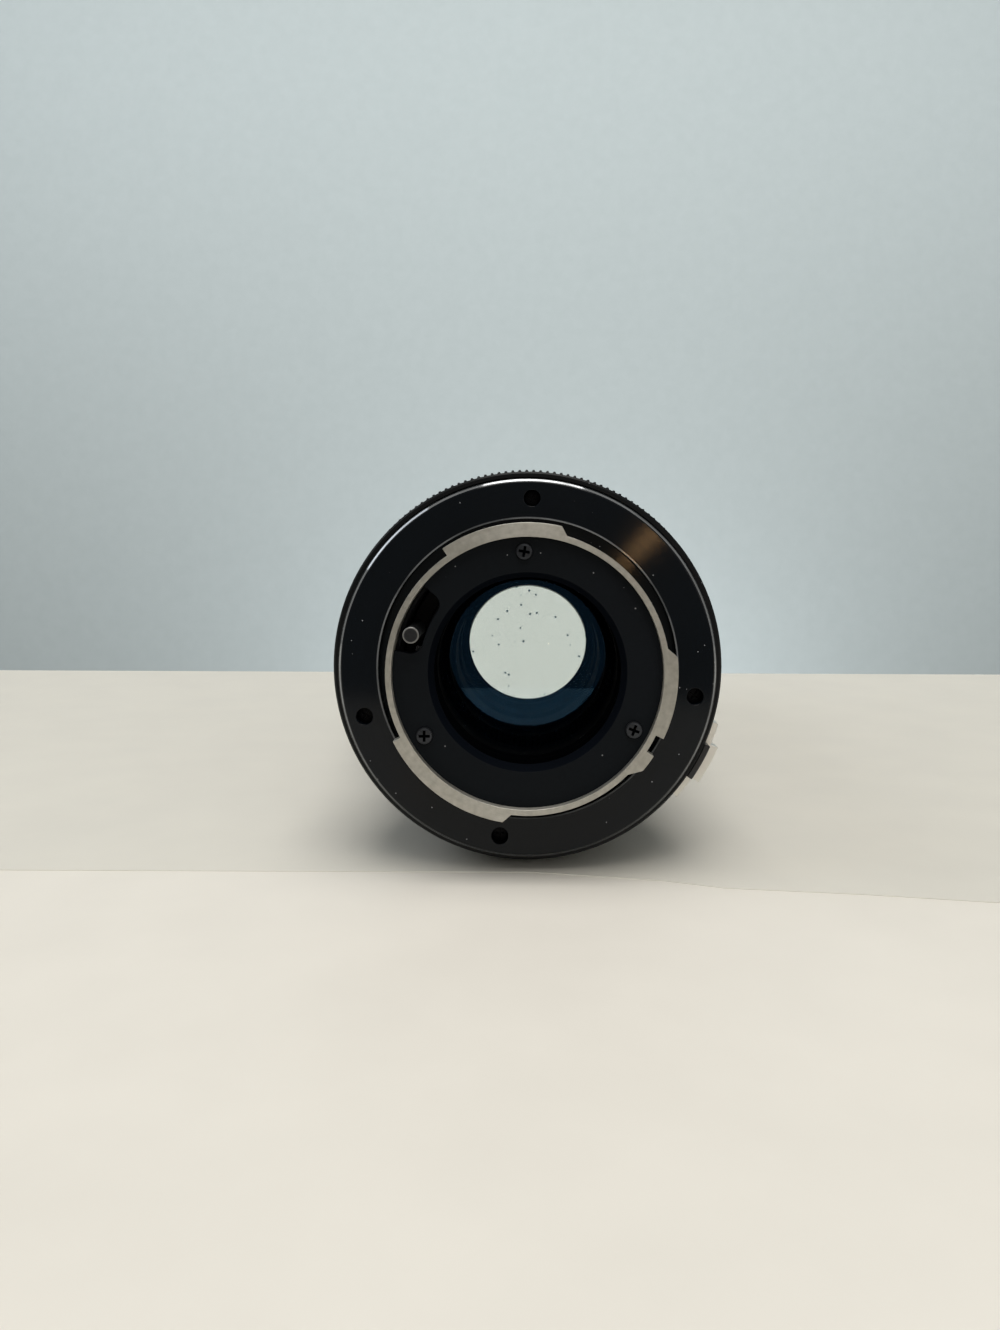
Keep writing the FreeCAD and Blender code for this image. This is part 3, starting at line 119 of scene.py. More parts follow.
# the direction across the lathe marks, in which their highlight is drawn out
acrossMarks = tree = newTree("acrossMarks", "ShaderNodeTree", {}, {"Vector": "Vector"})
spot = addNode(tree, "ShaderNodeTexCoord").outputs["Object"]
axis = addNode(tree, "ShaderNodeCombineXYZ", {"Y": 1.0})
along = addNode(tree, "ShaderNodeVectorMath", {0: axis, 1: spot}, operation="CROSS_PRODUCT")
turned = addNode(tree, "ShaderNodeVectorTransform", {0: along}, convert_from="OBJECT", convert_to="WORLD")
normal = addNode(tree, "ShaderNodeNewGeometry").outputs["Normal"]
across = addNode(tree, "ShaderNodeVectorMath", {0: normal, 1: turned}, operation="CROSS_PRODUCT")
unit = addNode(tree, "ShaderNodeVectorMath", {0: across}, operation="NORMALIZE")
addNode(tree, "NodeGroupOutput", {"Vector": unit})

# dust: a few specks of lint, one in some of the cells of a coarse pattern
dustSpecks = tree = newTree("dustSpecks", "ShaderNodeTree",
                            {"Cell": "Float", "Size": "Float", "Share": "Float"}, {"Mask": "Float"})
ways = addNode(tree, "NodeGroupInput")
spot = addNode(tree, "ShaderNodeTexCoord").outputs["Object"]
cells = addNode(tree, "ShaderNodeTexVoronoi", {"Vector": spot, "Scale": ways.outputs["Cell"]})
near = addNode(tree, "ShaderNodeMath", {0: cells.outputs["Distance"], 1: ways.outputs["Size"]},
               operation="LESS_THAN")
pick = addNode(tree, "ShaderNodeSeparateColor", {0: cells.outputs["Color"]})
some = addNode(tree, "ShaderNodeMath", {0: pick, 1: ways.outputs["Share"]}, operation="LESS_THAN")
both = addNode(tree, "ShaderNodeMath", {0: near, 1: some}, operation="MULTIPLY")
addNode(tree, "NodeGroupOutput", {"Mask": both})

metalDust = {"cell": 700.0, "size": 0.07, "speck": "#8d8f93"}
paintDust = {"cell": 600.0, "size": 0.07, "speck": "#77787b"}


def dusted(tree, tone, dust, share):
    # the tone with specks in a share of the cells
    specks = addNode(tree, "ShaderNodeGroup", {"Cell": dust["cell"], "Size": dust["size"], "Share": share},
                     node_tree=dustSpecks)
    shown = addNode(tree, "ShaderNodeMix", {0: specks, 6: tone, 7: linear(dust["speck"])}, data_type="RGBA")
    return shown.outputs[2]


def clouded(tree, spot, scale, detail, look):
    # a soft noise, and a tone that drifts with it between the look's dark and light
    cloud = addNode(tree, "ShaderNodeTexNoise", {"Vector": spot, "Scale": scale, "Detail": detail})
    tone = addNode(tree, "ShaderNodeMix", {0: cloud, 6: linear(look["dark"]), 7: linear(look["light"])},
                   data_type="RGBA")
    return cloud, tone.outputs[2]


def reachOf(tree, spot):
    # how far a spot is from the axis
    flat = addNode(tree, "ShaderNodeVectorMath", {0: spot, 1: (1.0, 0.0, 1.0)}, operation="MULTIPLY")
    return addNode(tree, "ShaderNodeVectorMath", {0: flat}, operation="LENGTH").outputs["Value"]


# painted shade: the pale worn turned edges are dulled on the lower half of the lens, which lies in its own
# shade
wearAndShadeLook = {"tone": "#b4b7bb", "patches": 120.0, "patchFrom": 0.38, "patchTo": 0.62,
            "lowAt": -25, "fullAt": 12, "lowShare": 0.12}


def wornRimsShadedBelow(tree, rims):
    # where the black has gone from turned edges: between two radii, near a face, in broken lengths, and
    # dulled lower down by painted shade
    spot = addNode(tree, "ShaderNodeTexCoord").outputs["Object"]
    split = addNode(tree, "ShaderNodeSeparateXYZ", {0: spot})
    level = addNode(tree, "ShaderNodeCombineXYZ", {"X": split.outputs["X"], "Z": split.outputs["Z"]})
    radius = addNode(tree, "ShaderNodeVectorMath", {0: level}, operation="LENGTH")
    patches = addNode(tree, "ShaderNodeTexNoise", {
        "Vector": spot, "Scale": wearAndShadeLook["patches"], "Detail": 3.0})
    # painted shade: the pale edges fade out lower down
    height = addNode(tree, "ShaderNodeMapRange", {
        "Value": split.outputs["Z"], "From Min": wearAndShadeLook["lowAt"] * mm, "From Max": wearAndShadeLook["fullAt"] * mm,
        "To Min": wearAndShadeLook["lowShare"]})
    whole = None
    for rim in rims:
        within = addNode(tree, "ShaderNodeMapRange", {
            "Value": radius.outputs["Value"], "From Min": rim["from"] * mm, "From Max": rim["full"] * mm})
        face = addNode(tree, "ShaderNodeMath", {0: split.outputs["Y"], 1: rim["until"] * mm},
                       operation="LESS_THAN")
        paleRim = addNode(tree, "ShaderNodeMapRange", {
            "Value": patches, "From Min": wearAndShadeLook["patchFrom"], "From Max": wearAndShadeLook["patchTo"],
            "To Min": rim["least"], "To Max": rim["most"]})
        near = addNode(tree, "ShaderNodeMath", {0: within, 1: face}, operation="MULTIPLY")
        wornAndShaded = addNode(tree, "ShaderNodeMath", {0: paleRim, 1: height}, operation="MULTIPLY")
        mask = addNode(tree, "ShaderNodeMath", {0: near, 1: wornAndShaded}, operation="MULTIPLY")
        if whole is not None:
            mask = addNode(tree, "ShaderNodeMath", {0: whole, 1: mask}, operation="MAXIMUM")
        whole = mask
    return whole


def turnedMetal(name, look):
    # a lathe-turned surface: fine rings in the gloss and the bump, a drawn-out highlight, some dust
    material, tree = newMaterial(name)
    marks = addNode(tree, "ShaderNodeGroup", {"Around": look.get("around", 2.0),
                                              "Across": 1 / (look["grooveMm"] * mm)}, node_tree=latheMarks)
    rings = addNode(tree, "ShaderNodeTexNoise", {
        "Vector": marks, "Scale": 1.0, "Detail": 3.0, "Roughness": 0.6})
    gloss = addNode(tree, "ShaderNodeMapRange", {
        "Value": rings, "From Min": 0.3, "From Max": 0.7, "To Min": look["roughness"] - look["spread"],
        "To Max": look["roughness"] + look["spread"]})
    relief = addNode(tree, "ShaderNodeBump", {
        "Strength": look["bump"], "Distance": 0.02 * mm, "Height": rings})
    spot = addNode(tree, "ShaderNodeTexCoord").outputs["Object"]
    shown = dusted(tree, clouded(tree, spot, look.get("mottle", 90.0), 4.0, look)[1], metalDust,
                   look.get("dust", 0.0))
    metallic = look.get("metallic", 1.0)
    if "rimBands" in look:
        metallic = wornRimsShadedBelow(tree, look["rimBands"])
        shown = addNode(tree, "ShaderNodeMix", {0: metallic, 6: shown, 7: linear(wearAndShadeLook["tone"])},
                        data_type="RGBA").outputs[2]
    way = addNode(tree, "ShaderNodeGroup", node_tree=acrossMarks)
    shader = addNode(tree, "ShaderNodeBsdfPrincipled", {
        "Base Color": shown, "Metallic": metallic, "Roughness": gloss, "Anisotropic": look["drawn"],
        "Specular IOR Level": look.get("specular", 0.5), "Tangent": way, "Normal": relief})
    addNode(tree, "ShaderNodeOutputMaterial", {"Surface": shader})
    return material


def grainedSurface(name, look):
    # paint, moulded rubber or cast metal: an even grain of a real size
    material, tree = newMaterial(name)
    spot = addNode(tree, "ShaderNodeTexCoord").outputs["Object"]
    grain = addNode(tree, "ShaderNodeTexNoise", {"Vector": spot, "Scale": 1 / (look["grainMm"] * mm)})
    cloud, tone = clouded(tree, spot, 70.0, 3.0, look)
    shown = dusted(tree, tone, paintDust, look.get("dust", 0.0))
    gloss = addNode(tree, "ShaderNodeMapRange", {
        "Value": cloud, "To Min": look["roughness"] - 0.06, "To Max": look["roughness"] + 0.06})
    relief = addNode(tree, "ShaderNodeBump", {
        "Strength": look.get("bump", 0.1), "Distance": 0.05 * mm, "Height": grain})
    shader = addNode(tree, "ShaderNodeBsdfPrincipled", {
        "Base Color": shown, "Metallic": look.get("metallic", 0.0), "Roughness": gloss, "Normal": relief,
        "Specular IOR Level": look.get("specular", 0.5)})
    addNode(tree, "ShaderNodeOutputMaterial", {"Surface": shader})
    return material


def coatedGlass(name, look):
    # an optical glass: mostly seen through, with its coating's tint and a clear gloss
    material, tree = newMaterial(name)
    spot = addNode(tree, "ShaderNodeTexCoord").outputs["Object"]
    shader = addNode(tree, "ShaderNodeBsdfPrincipled", {
        "Base Color": clouded(tree, spot, 40.0, 2.0, look)[1], "Roughness": look["roughness"],
        "IOR": look["ior"], "Specular Tint": linear(look["reflex"])})
    clear = addNode(tree, "ShaderNodeBsdfTransparent", {"Color": linear(look["through"])})
    blend = addNode(tree, "ShaderNodeMixShader", {0: look["cover"], 1: clear, 2: shader})
    addNode(tree, "ShaderNodeOutputMaterial", {"Surface": blend})
    return material


# turned and black anodised aluminium: deep black, silky rings, a highlight drawn out along the radius
flangeFinish = turnedMetal("anodisedBlackFlange", {
    "dark": "#03070c", "light": "#060b11", "metallic": 0.0, "roughness": 0.13, "spread": 0.015,
    "drawn": 1.0, "grooveMm": 0.5, "bump": 0.05, "dust": 0.35, "specular": 0.2,
    "rimBands": ({"from": 30.3, "full": 30.42, "until": 0.45, "least": 0.6, "most": 1.0},
             {"from": 24.56, "full": 24.42, "until": 0.3, "least": 0.2, "most": 0.7})})
# the same finish, bead blasted and duller, on the rings of the barrel
barrelFinish = turnedMetal("anodisedBlackBarrel", {
    "dark": "#07090c", "light": "#0c0f12", "metallic": 0.0, "roughness": 0.42, "spread": 0.05,
    "drawn": 0.35, "grooveMm": 0.3, "bump": 0.1, "dust": 0.12, "specular": 0.18})
# nickel plate over brass, ground on its rear face: warm grey metal with soft streaks
nickelFinish = turnedMetal("brushedNickel", {
    "dark": "#94928b", "light": "#c6c4bd", "roughness": 0.46, "spread": 0.1,
    "drawn": 0.6, "grooveMm": 0.25, "bump": 0.15, "around": 6.0, "mottle": 900.0})
# satin chrome of the coupling block: paler and finer
chromeFinish = turnedMetal("satinChrome", {
    "dark": "#d4d2cc", "light": "#e2e0da", "metallic": 0.85, "roughness": 0.42, "spread": 0.05,
    "drawn": 0.3, "grooveMm": 0.2, "bump": 0.05, "around": 12.0})
# bare metals of the inner tubes, rings and pins as they leave the lathe; the blades are blackened
brassFinish = turnedMetal("turnedBrass", {
    "dark": "#a8894a", "light": "#c0a25c", "roughness": 0.28, "spread": 0.06,
    "drawn": 0.5, "grooveMm": 0.2, "bump": 0.1})
aluminiumFinish = turnedMetal("turnedAluminium", {
    "dark": "#8f9093", "light": "#a9aaad", "roughness": 0.32, "spread": 0.06,
    "drawn": 0.5, "grooveMm": 0.25, "bump": 0.1})
springFinish = turnedMetal("brightSpringSteel", {
    "dark": "#8e8f92", "light": "#adaeb1", "roughness": 0.26, "spread": 0.04,
    "drawn": 0.2, "grooveMm": 0.2, "bump": 0.03})
bladeFinish = turnedMetal("blackenedBladeSteel", {
    "dark": "#121318", "light": "#1b1c22", "metallic": 0.6, "roughness": 0.4, "spread": 0.05,
    "drawn": 0.2, "grooveMm": 0.3, "bump": 0.04})

# the stop-down pin: blackened steel with a painted highlight, a pale ring at the rim of its tip
pinLook = {"circle": 19.15, "angle": 161.6, "highlightFrom": 0.98, "highlightTo": 1.16, "highlightLength": 0.25,
           "grainMm": 0.4, "dark": "#1a1b1e", "light": "#2c2d30", "paleRim": "#7d7d7c", "metallic": 0.6,
           "roughness": 0.42, "edge": 0.16}
pinFinish, tree = newMaterial("wornPinSteel")
spot = addNode(tree, "ShaderNodeTexCoord").outputs["Object"]
spot = addNode(tree, "ShaderNodeVectorMath", {0: spot, 1: polar(pinLook["circle"], pinLook["angle"], 0)},
               operation="SUBTRACT")
reach = reachOf(tree, spot)
tone = clouded(tree, spot, 1 / (pinLook["grainMm"] * mm), 3.0, pinLook)[1]
# painted highlight: the pale ring between two radii from the pin's centre, near its tip
rimBands = addNode(tree, "ShaderNodeMapRange", {
    "Value": reach, "From Min": pinLook["highlightFrom"] * mm, "From Max": pinLook["highlightTo"] * mm})
split = addNode(tree, "ShaderNodeSeparateXYZ", {0: spot})
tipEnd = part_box("stop_down_pin")[0].y + pinLook["highlightLength"] * mm
tip = addNode(tree, "ShaderNodeMath", {0: split.outputs["Y"], 1: tipEnd}, operation="LESS_THAN")
rim = addNode(tree, "ShaderNodeMath", {0: rimBands, 1: tip}, operation="MULTIPLY")
shown = addNode(tree, "ShaderNodeMix", {0: rim, 6: tone, 7: linear(pinLook["paleRim"])}, data_type="RGBA")
shader = addNode(tree, "ShaderNodeBsdfPrincipled", {
    "Base Color": shown.outputs[2], "Metallic": pinLook["metallic"], "Roughness": pinLook["roughness"]})
addNode(tree, "ShaderNodeOutputMaterial", {"Surface": shader})

# flat black paint that kills stray light: rough, almost no gloss, a fine spray grain
paintFinish = grainedSurface("flatBlackPaint", {
    "dark": "#03070b", "light": "#070c12", "roughness": 0.6, "grainMm": 0.16, "bump": 0.35, "dust": 0.25,
    "specular": 0.12})
# the same paint with painted shade: darker and duller inside the opening's cone, where it looks deeper, and
# in the cells behind it
coneShadeFinish = grainedSurface("flatBlackCone", {
    "dark": "#03060b", "light": "#060a12", "roughness": 0.75, "grainMm": 0.16, "bump": 0.2, "specular": 0.04})
insideShadeFinish = grainedSurface("flatBlackInside", {
    "dark": "#010203", "light": "#030406", "roughness": 0.9, "grainMm": 0.2, "specular": 0.02})
# blackened steel of the screws: a little gloss on the raised edges
screwFinish = grainedSurface("blackenedSteel", {
    "dark": "#2c2e32", "light": "#3e4044", "roughness": 0.38, "grainMm": 0.12, "metallic": 0.8})
# a darker, duller copy of the screw steel as painted shade, on the heads that lie deep in the flange
sunkShadeFinish = grainedSurface("oiledBlackSteel", {
    "dark": "#020305", "light": "#040508", "roughness": 0.5, "grainMm": 0.12, "specular": 0.1})
# painted shade: the cast frame is coloured near black, so that it throws no light past the slot
frameShadeFinish = grainedSurface("blackenedCasting", {
    "dark": "#08090b", "light": "#0e0f11", "roughness": 0.7, "grainMm": 0.3, "bump": 0.4, "specular": 0.1})
# stoved enamel on the coupling block's outer face: smoother and glossier than the paint
tabFinish = grainedSurface("blackEnamel", {
    "dark": "#0a0a0c", "light": "#111114", "roughness": 0.3, "grainMm": 0.3, "bump": 0.08})
# moulded nitrile rubber: charcoal, matt, with a faint bloom
rubberFinish = grainedSurface("mouldedRubber", {
    "dark": "#131314", "light": "#1c1c1d", "roughness": 0.72, "grainMm": 0.22, "bump": 0.3, "dust": 0.03})
# filled engraving: dull enamel paint in cut figures
enamelLook = {"roughness": 0.55, "grainMm": 0.15}
whiteFill = grainedSurface("whiteEnamelFill", {"dark": "#d6d3ca", "light": "#e4e1d8", **enamelLook})
amberFill = grainedSurface("amberEnamelFill", {"dark": "#c9912e", "light": "#d8a23c", **enamelLook})
# the rear glass has a clear outer face and a blue coating inside, which reads as navy over the dark cell
clearLook = {"dark": "#0a1a2c", "light": "#0d2136", "through": "#f9fbfb", "roughness": 0.02, "ior": 1.6,
             "reflex": "#9fc0ea", "cover": 0.04}
rearGlassFinish = coatedGlass("clearRearGlass", clearLook)
coatingFinish = coatedGlass("blueCoating", {
    "dark": "#000102", "light": "#000204", "through": "#f4f6f6", "roughness": 0.02, "ior": 2.0,
    "reflex": "#71bfff", "cover": 0.36})
innerGlassFinish = coatedGlass("clearInnerGlass", {
    **clearLook, "through": "#f6f9f9", "roughness": 0.03, "cover": 0.05})
# the front glass shows the coating's violet reflex
frontGlassFinish = coatedGlass("violetCoatedGlass", {
    "dark": "#120f22", "light": "#1a1530", "through": "#b9bccb", "roughness": 0.02, "ior": 1.7,
    "reflex": "#b58fe0", "cover": 0.45})

# the far glass behind the iris glows with painted light, standing in for the room's light that falls in
# through the front
paintedLightLook = {"dark": "#e2dbd0", "light": "#ebe4d9", "speck": "#46565c", "cell": 620.0, "size": 0.15,
           "share": 0.6, "glass": "#202a2c", "roughness": 0.2, "strength": 2.1}
paintedLightFinish, tree = newMaterial("litGlass")
spot = addNode(tree, "ShaderNodeTexCoord").outputs["Object"]
shown = dusted(tree, clouded(tree, spot, 60.0, 3.0, paintedLightLook)[1], paintedLightLook, paintedLightLook["share"])
shader = addNode(tree, "ShaderNodeBsdfPrincipled", {
    "Base Color": linear(paintedLightLook["glass"]), "Roughness": paintedLightLook["roughness"], "Emission Color": shown,
    "Emission Strength": paintedLightLook["strength"]})
addNode(tree, "ShaderNodeOutputMaterial", {"Surface": shader})

# painted shade: a black ring that bounds the painted light; it thickens outwards, so the light ends softly
paintedShadeRingLook = {"inner": 11.1, "full": 11.55, "outer": 12.4, "rear": 29.88, "front": 30.02, "tone": "#010203",
            "roughness": 0.9, "specular": 0.02}
paintedShadeEdgeFinish, tree = newMaterial("softBlackEdge")
spot = addNode(tree, "ShaderNodeTexCoord").outputs["Object"]
cover = addNode(tree, "ShaderNodeMapRange", {
    "Value": reachOf(tree, spot), "From Min": paintedShadeRingLook["inner"] * mm, "From Max": paintedShadeRingLook["full"] * mm},
    interpolation_type="SMOOTHSTEP")
clear = addNode(tree, "ShaderNodeBsdfTransparent")
shader = addNode(tree, "ShaderNodeBsdfPrincipled", {
    "Base Color": linear(paintedShadeRingLook["tone"]), "Roughness": paintedShadeRingLook["roughness"],
    "Specular IOR Level": paintedShadeRingLook["specular"]})
blend = addNode(tree, "ShaderNodeMixShader", {0: cover, 1: clear, 2: shader})
addNode(tree, "ShaderNodeOutputMaterial", {"Surface": blend})
print("materials made")

# Mesh tools


def linked(name, data):
    thing = bpy.data.objects.new(name, data)
    bpy.context.scene.collection.objects.link(thing)
    return thing


def newObject(name, shape, material=None):
    mesh = bpy.data.meshes.new(name)
    shape.to_mesh(mesh)
    shape.free()
    if material:
        mesh.materials.append(material)
    return linked(name, mesh)


def newPiece(name, shape, material, body, stands=()):
    # a finished piece: its place is in its mesh, its object stays at the origin
    piece = newObject(name, shape, material)
    piece.data.polygons.foreach_set("use_smooth", [True] * len(piece.data.polygons))
    piece.data.set_sharp_from_angle(angle=math.radians(32))
    if body:
        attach(piece, body)
    if stands:
        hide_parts(*stands)
    return piece


def softenEdges(piece, width, levels=2):
    bevel = piece.modifiers.new("softEdges", "BEVEL")
    bevel.width = width * mm
    bevel.segments = levels
    bevel.limit_method = "ANGLE"
    bevel.angle_limit = math.radians(35)
    bevel.harden_normals = True
    even = piece.modifiers.new("evenNormals", "WEIGHTED_NORMAL")
    even.keep_sharp = True


def cadCopy(nodeName):
    # the CAD node's own shape with its triangles merged, ready for soft edges
    shape = bmesh.new()
    shape.from_mesh(nodes[nodeName].data)
    bmesh.ops.remove_doubles(shape, verts=shape.verts, dist=2e-6)
    bmesh.ops.dissolve_degenerate(shape, edges=shape.edges, dist=1e-5)
    bmesh.ops.dissolve_limit(shape, angle_limit=math.radians(1.0), verts=shape.verts, edges=shape.edges)
    return shape


def softCopy(name, nodeName, material, body, look):
    piece = newPiece(name, cadCopy(nodeName), material, body, [nodeName])
    softenEdges(piece, look["edge"])
    return piece


def repaint(piece, material, chosen):
    # a second finish on some faces of a piece
    piece.data.materials.append(material)
    for face in piece.data.polygons:
        if chosen(face):
            face.material_index = 1


def dress(material, *names):
    for name in names:
        nodes[name].data.materials.clear()
        nodes[name].data.materials.append(material)


def facedOut(shape):
    bmesh.ops.recalc_face_normals(shape, faces=shape.faces)
    return shape


def bridge(shape, low, high):
    # a band of faces between two closed rows of points
    for i in range(len(low)):
        j = (i + 1) % len(low)
        shape.faces.new((low[i], low[j], high[j], high[i]))


def lathe(outline, steps=144):
    # turns a closed outline of (radius, place) points about the lens's axis
    shape = bmesh.new()
    rows = [[shape.verts.new(polar(radius, 360.0 * number / steps, place)) for radius, place in outline]
            for number in range(steps)]
    for number in range(steps):
        row, following = rows[number], rows[(number + 1) % steps]
        for i in range(len(outline)):
            j = (i + 1) % len(outline)
            if outline[i][0] or outline[j][0]:
                shape.faces.new((row[i], row[j], following[j], following[i]))
    bmesh.ops.remove_doubles(shape, verts=shape.verts, dist=1e-7)
    return facedOut(shape)


def sag(radius, curve):
    return 0.0 if curve == 0 else curve - math.copysign(math.sqrt(curve ** 2 - radius ** 2), curve)


def lensShape(look):
    # a round glass with polished spherical faces; a positive curve bulges, a negative one is hollow
    radius, rings = look["radius"], 14
    reaches = [radius * i / rings for i in range(rings + 1)]
    rear = [(r, look["rear"] + sag(r, look["rearCurve"])) for r in reaches]
    front = [(r, look["front"] - sag(r, look["frontCurve"])) for r in reversed(reaches)]
    return lathe(rear + front, steps=96)


def evaluated(holder):
    # the finished shape of an object that isn't kept
    bpy.context.view_layer.update()
    ready = holder.evaluated_get(bpy.context.evaluated_depsgraph_get())
    plain = bpy.data.meshes.new_from_object(ready)
    shape = bmesh.new()
    shape.from_mesh(plain)
    bpy.data.objects.remove(holder)
    bpy.data.meshes.remove(plain)
    return shape


def grown(tree, values):
    # what a tree makes from its named inputs, as a plain mesh
    holder = newObject("holder", bmesh.new())
    modifier = holder.modifiers.new("grown", "NODES")
    modifier.node_group = tree
    for item in tree.interface.items_tree:
        if item.in_out == "INPUT":
            modifier[item.identifier] = values[item.name]
    return evaluated(holder)


def ringCopies():
    # copies of one piece round the axis: the tree has an input for each size
    tree = newTree("ringCopies", "GeometryNodeTree",
                   {"Copy": "Object", "Count": "Int", "Circle": "Float", "Place": "Float",
                    "First Angle": "Float", "Step": "Float", "Finish": "Material"}, {"Geometry": "Geometry"})
    given = addNode(tree, "NodeGroupInput")
    order = addNode(tree, "GeometryNodeInputIndex")
    turn = addNode(tree, "ShaderNodeMath", {
        0: order, 1: given.outputs["Step"], 2: given.outputs["First Angle"]}, operation="MULTIPLY_ADD")
    cosine = addNode(tree, "ShaderNodeMath", {0: turn}, operation="COSINE")
    sine = addNode(tree, "ShaderNodeMath", {0: turn}, operation="SINE")
    right = addNode(tree, "ShaderNodeMath", {0: cosine, 1: given.outputs["Circle"]}, operation="MULTIPLY")
    up = addNode(tree, "ShaderNodeMath", {0: sine, 1: given.outputs["Circle"]}, operation="MULTIPLY")
    spotAt = addNode(tree, "ShaderNodeCombineXYZ", {"X": right, "Y": given.outputs["Place"], "Z": up})
    back = addNode(tree, "ShaderNodeMath", {0: turn, 1: -1.0}, operation="MULTIPLY")
    facing = addNode(tree, "ShaderNodeCombineXYZ", {"Y": back})
    marks = addNode(tree, "GeometryNodePoints", {"Count": given.outputs["Count"], "Position": spotAt})
    original = addNode(tree, "GeometryNodeObjectInfo", {
        "Object": given.outputs["Copy"]}, transform_space="ORIGINAL")
    copies = addNode(tree, "GeometryNodeInstanceOnPoints", {
        "Points": marks, "Instance": original.outputs["Geometry"], "Rotation": facing})
    real = addNode(tree, "GeometryNodeRealizeInstances", {"Geometry": copies})
    painted = addNode(tree, "GeometryNodeSetMaterial", {
        "Geometry": real, "Material": given.outputs["Finish"]})
    addNode(tree, "NodeGroupOutput", {"Geometry": painted})
    return tree


ringTree = ringCopies()


def copiesRound(shape, material, sets):
    # one bmesh with all the copies; each set gives count, circle, place, first angle and step
    original = newObject("copy", shape)
    whole = bmesh.new()
    for look in sets:
        whole = merged(whole, grown(ringTree, {
            "Copy": original, "Count": look["count"], "Circle": look.get("circle", 0.0) * mm,
            "Place": look.get("place", 0.0) * mm, "First Angle": math.radians(look["first"]),
            "Step": math.radians(look["step"]), "Finish": material}))
    bpy.data.objects.remove(original)
    return whole


def merged(first, other):
    spare = bpy.data.meshes.new("spare")
    other.to_mesh(spare)
    other.free()
    first.from_mesh(spare)
    bpy.data.meshes.remove(spare)
    return first


def prism(corners, rear, front, taper):
    # a bar along the lens from an outline of (outward, sideways) points, drawn in at its ends
    shape = bmesh.new()
    rows = []
    for place, inset in ((rear, taper), (rear + taper, 0), (front - taper, 0), (front, taper)):
        rows.append([shape.verts.new(Vector((out - inset * (out > 0.01), place, side)) * mm)
                     for out, side in corners])
    for low, high in zip(rows, rows[1:]):
        bridge(shape, low, high)
    shape.faces.new(rows[0])
    shape.faces.new(list(reversed(rows[-1])))
    return facedOut(shape)


def knurlRidge(look):
    # one ridge of a knurl, narrower at its top
    corners = [(look["root"], -look["half"]), (look["tip"], -look["land"]), (look["tip"], look["land"]),
               (look["root"], look["half"])]
    return prism(corners, look["rear"], look["front"], look["taper"])


def crossHeadScrew(look):
    # a domed head that faces the bayonet's end, with a cross recess whose walls lean in
    shape = bmesh.new()
    radius, rear, rim, sides = look["radius"], look["rear"], look["rim"], 40

    def ring(reach, place):
        return [shape.verts.new(Vector((reach * math.cos(math.tau * i / sides), place,
                                        reach * math.sin(math.tau * i / sides))) * mm) for i in range(sides)]

    def cross(half, arm, place):
        corners = [(arm, -half), (arm, half), (half, half), (half, arm), (-half, arm), (-half, half),
                   (-arm, half), (-arm, -half), (-half, -half), (-half, -arm), (half, -arm), (half, -half)]
        return [shape.verts.new(Vector((x, place, z)) * mm) for x, z in corners]

    rings = [ring(radius, rear + look["height"]), ring(radius, rear + rim),
             ring(radius - rim * 0.35, rear + rim * 0.35), ring(radius - rim, rear + 0.04)]
    for low, high in zip(rings, rings[1:]):
        bridge(shape, low, high)
    shape.faces.new(rings[0])
    mouth = cross(look["slot"] / 2, look["arm"], rear)
    floor = cross(look["slot"] / 2 - 0.04, look["arm"] - 0.12, rear + look["depth"])
    bridge(shape, floor, mouth)
    shape.faces.new(floor)
    edges = [shape.edges.get((row[i], row[(i + 1) % len(row)]))
             for row in (rings[-1], mouth) for i in range(len(row))]
    bmesh.ops.triangle_fill(shape, use_beauty=True, edges=edges)
    return facedOut(shape)


def screwSet(look):
    # a screw at each angle, its recess as the screwdriver left it
    whole = bmesh.new()
    for angle, tilt in zip(look["angles"], look["tilts"]):
        screw = crossHeadScrew(look)
        bmesh.ops.rotate(screw, verts=screw.verts, cent=(0, 0, 0), matrix=Matrix.Rotation(tilt, 3, "Y"))
        whole = merged(whole, copiesRound(screw, screwFinish, [
            {"count": 1, "circle": look["circle"], "first": angle, "step": 0}]))
    return whole


fillLook = {"above": 0.03, "below": 0.05}    # how far filled figures stand out and go in


def figures(marks, radiusAt):
    # filled figures and lines laid round a ring: they read from behind the lens, with their tops forward
    whole = bmesh.new()
    for mark in marks:
        if "text" in mark:
            curve = bpy.data.curves.new("figure", "FONT")
            curve.body = mark["text"]
            curve.size = mark["size"]
            curve.align_x = curve.align_y = "CENTER"
            curve.resolution_u = 6
            figure = evaluated(linked("figure", curve))
        else:
            figure = bmesh.new()
            halfWide, halfLong = mark["wide"] / 2, mark["long"] / 2
            spots = [(halfWide * u, halfLong * v) for u, v in ((-1, -1), (1, -1), (1, 1), (-1, 1))]
            if mark.get("round"):
                spots = [(halfWide * math.cos(math.tau * i / 24), halfLong * math.sin(math.tau * i / 24))
                         for i in range(24)]
            figure.faces.new([figure.verts.new((u, v, 0)) for u, v in spots])
        bmesh.ops.remove_doubles(figure, verts=figure.verts, dist=0.002)
        block = bmesh.ops.extrude_face_region(figure, geom=list(facedOut(figure).faces))
        for vert in (v for v in block["geom"] if isinstance(v, bmesh.types.BMVert)):
            vert.co.z = 1.0
        for vert in figure.verts:
            place = mark["place"] + vert.co.y
            base = radiusAt(place)
            height = base + (fillLook["above"] if vert.co.z > 0.5 else -fillLook["below"])
            angle = mark["angle"] - math.degrees(vert.co.x / base)
            vert.co = polar(height, angle, place)
        whole = merged(whole, facedOut(figure))
    return whole


# Bayonet end

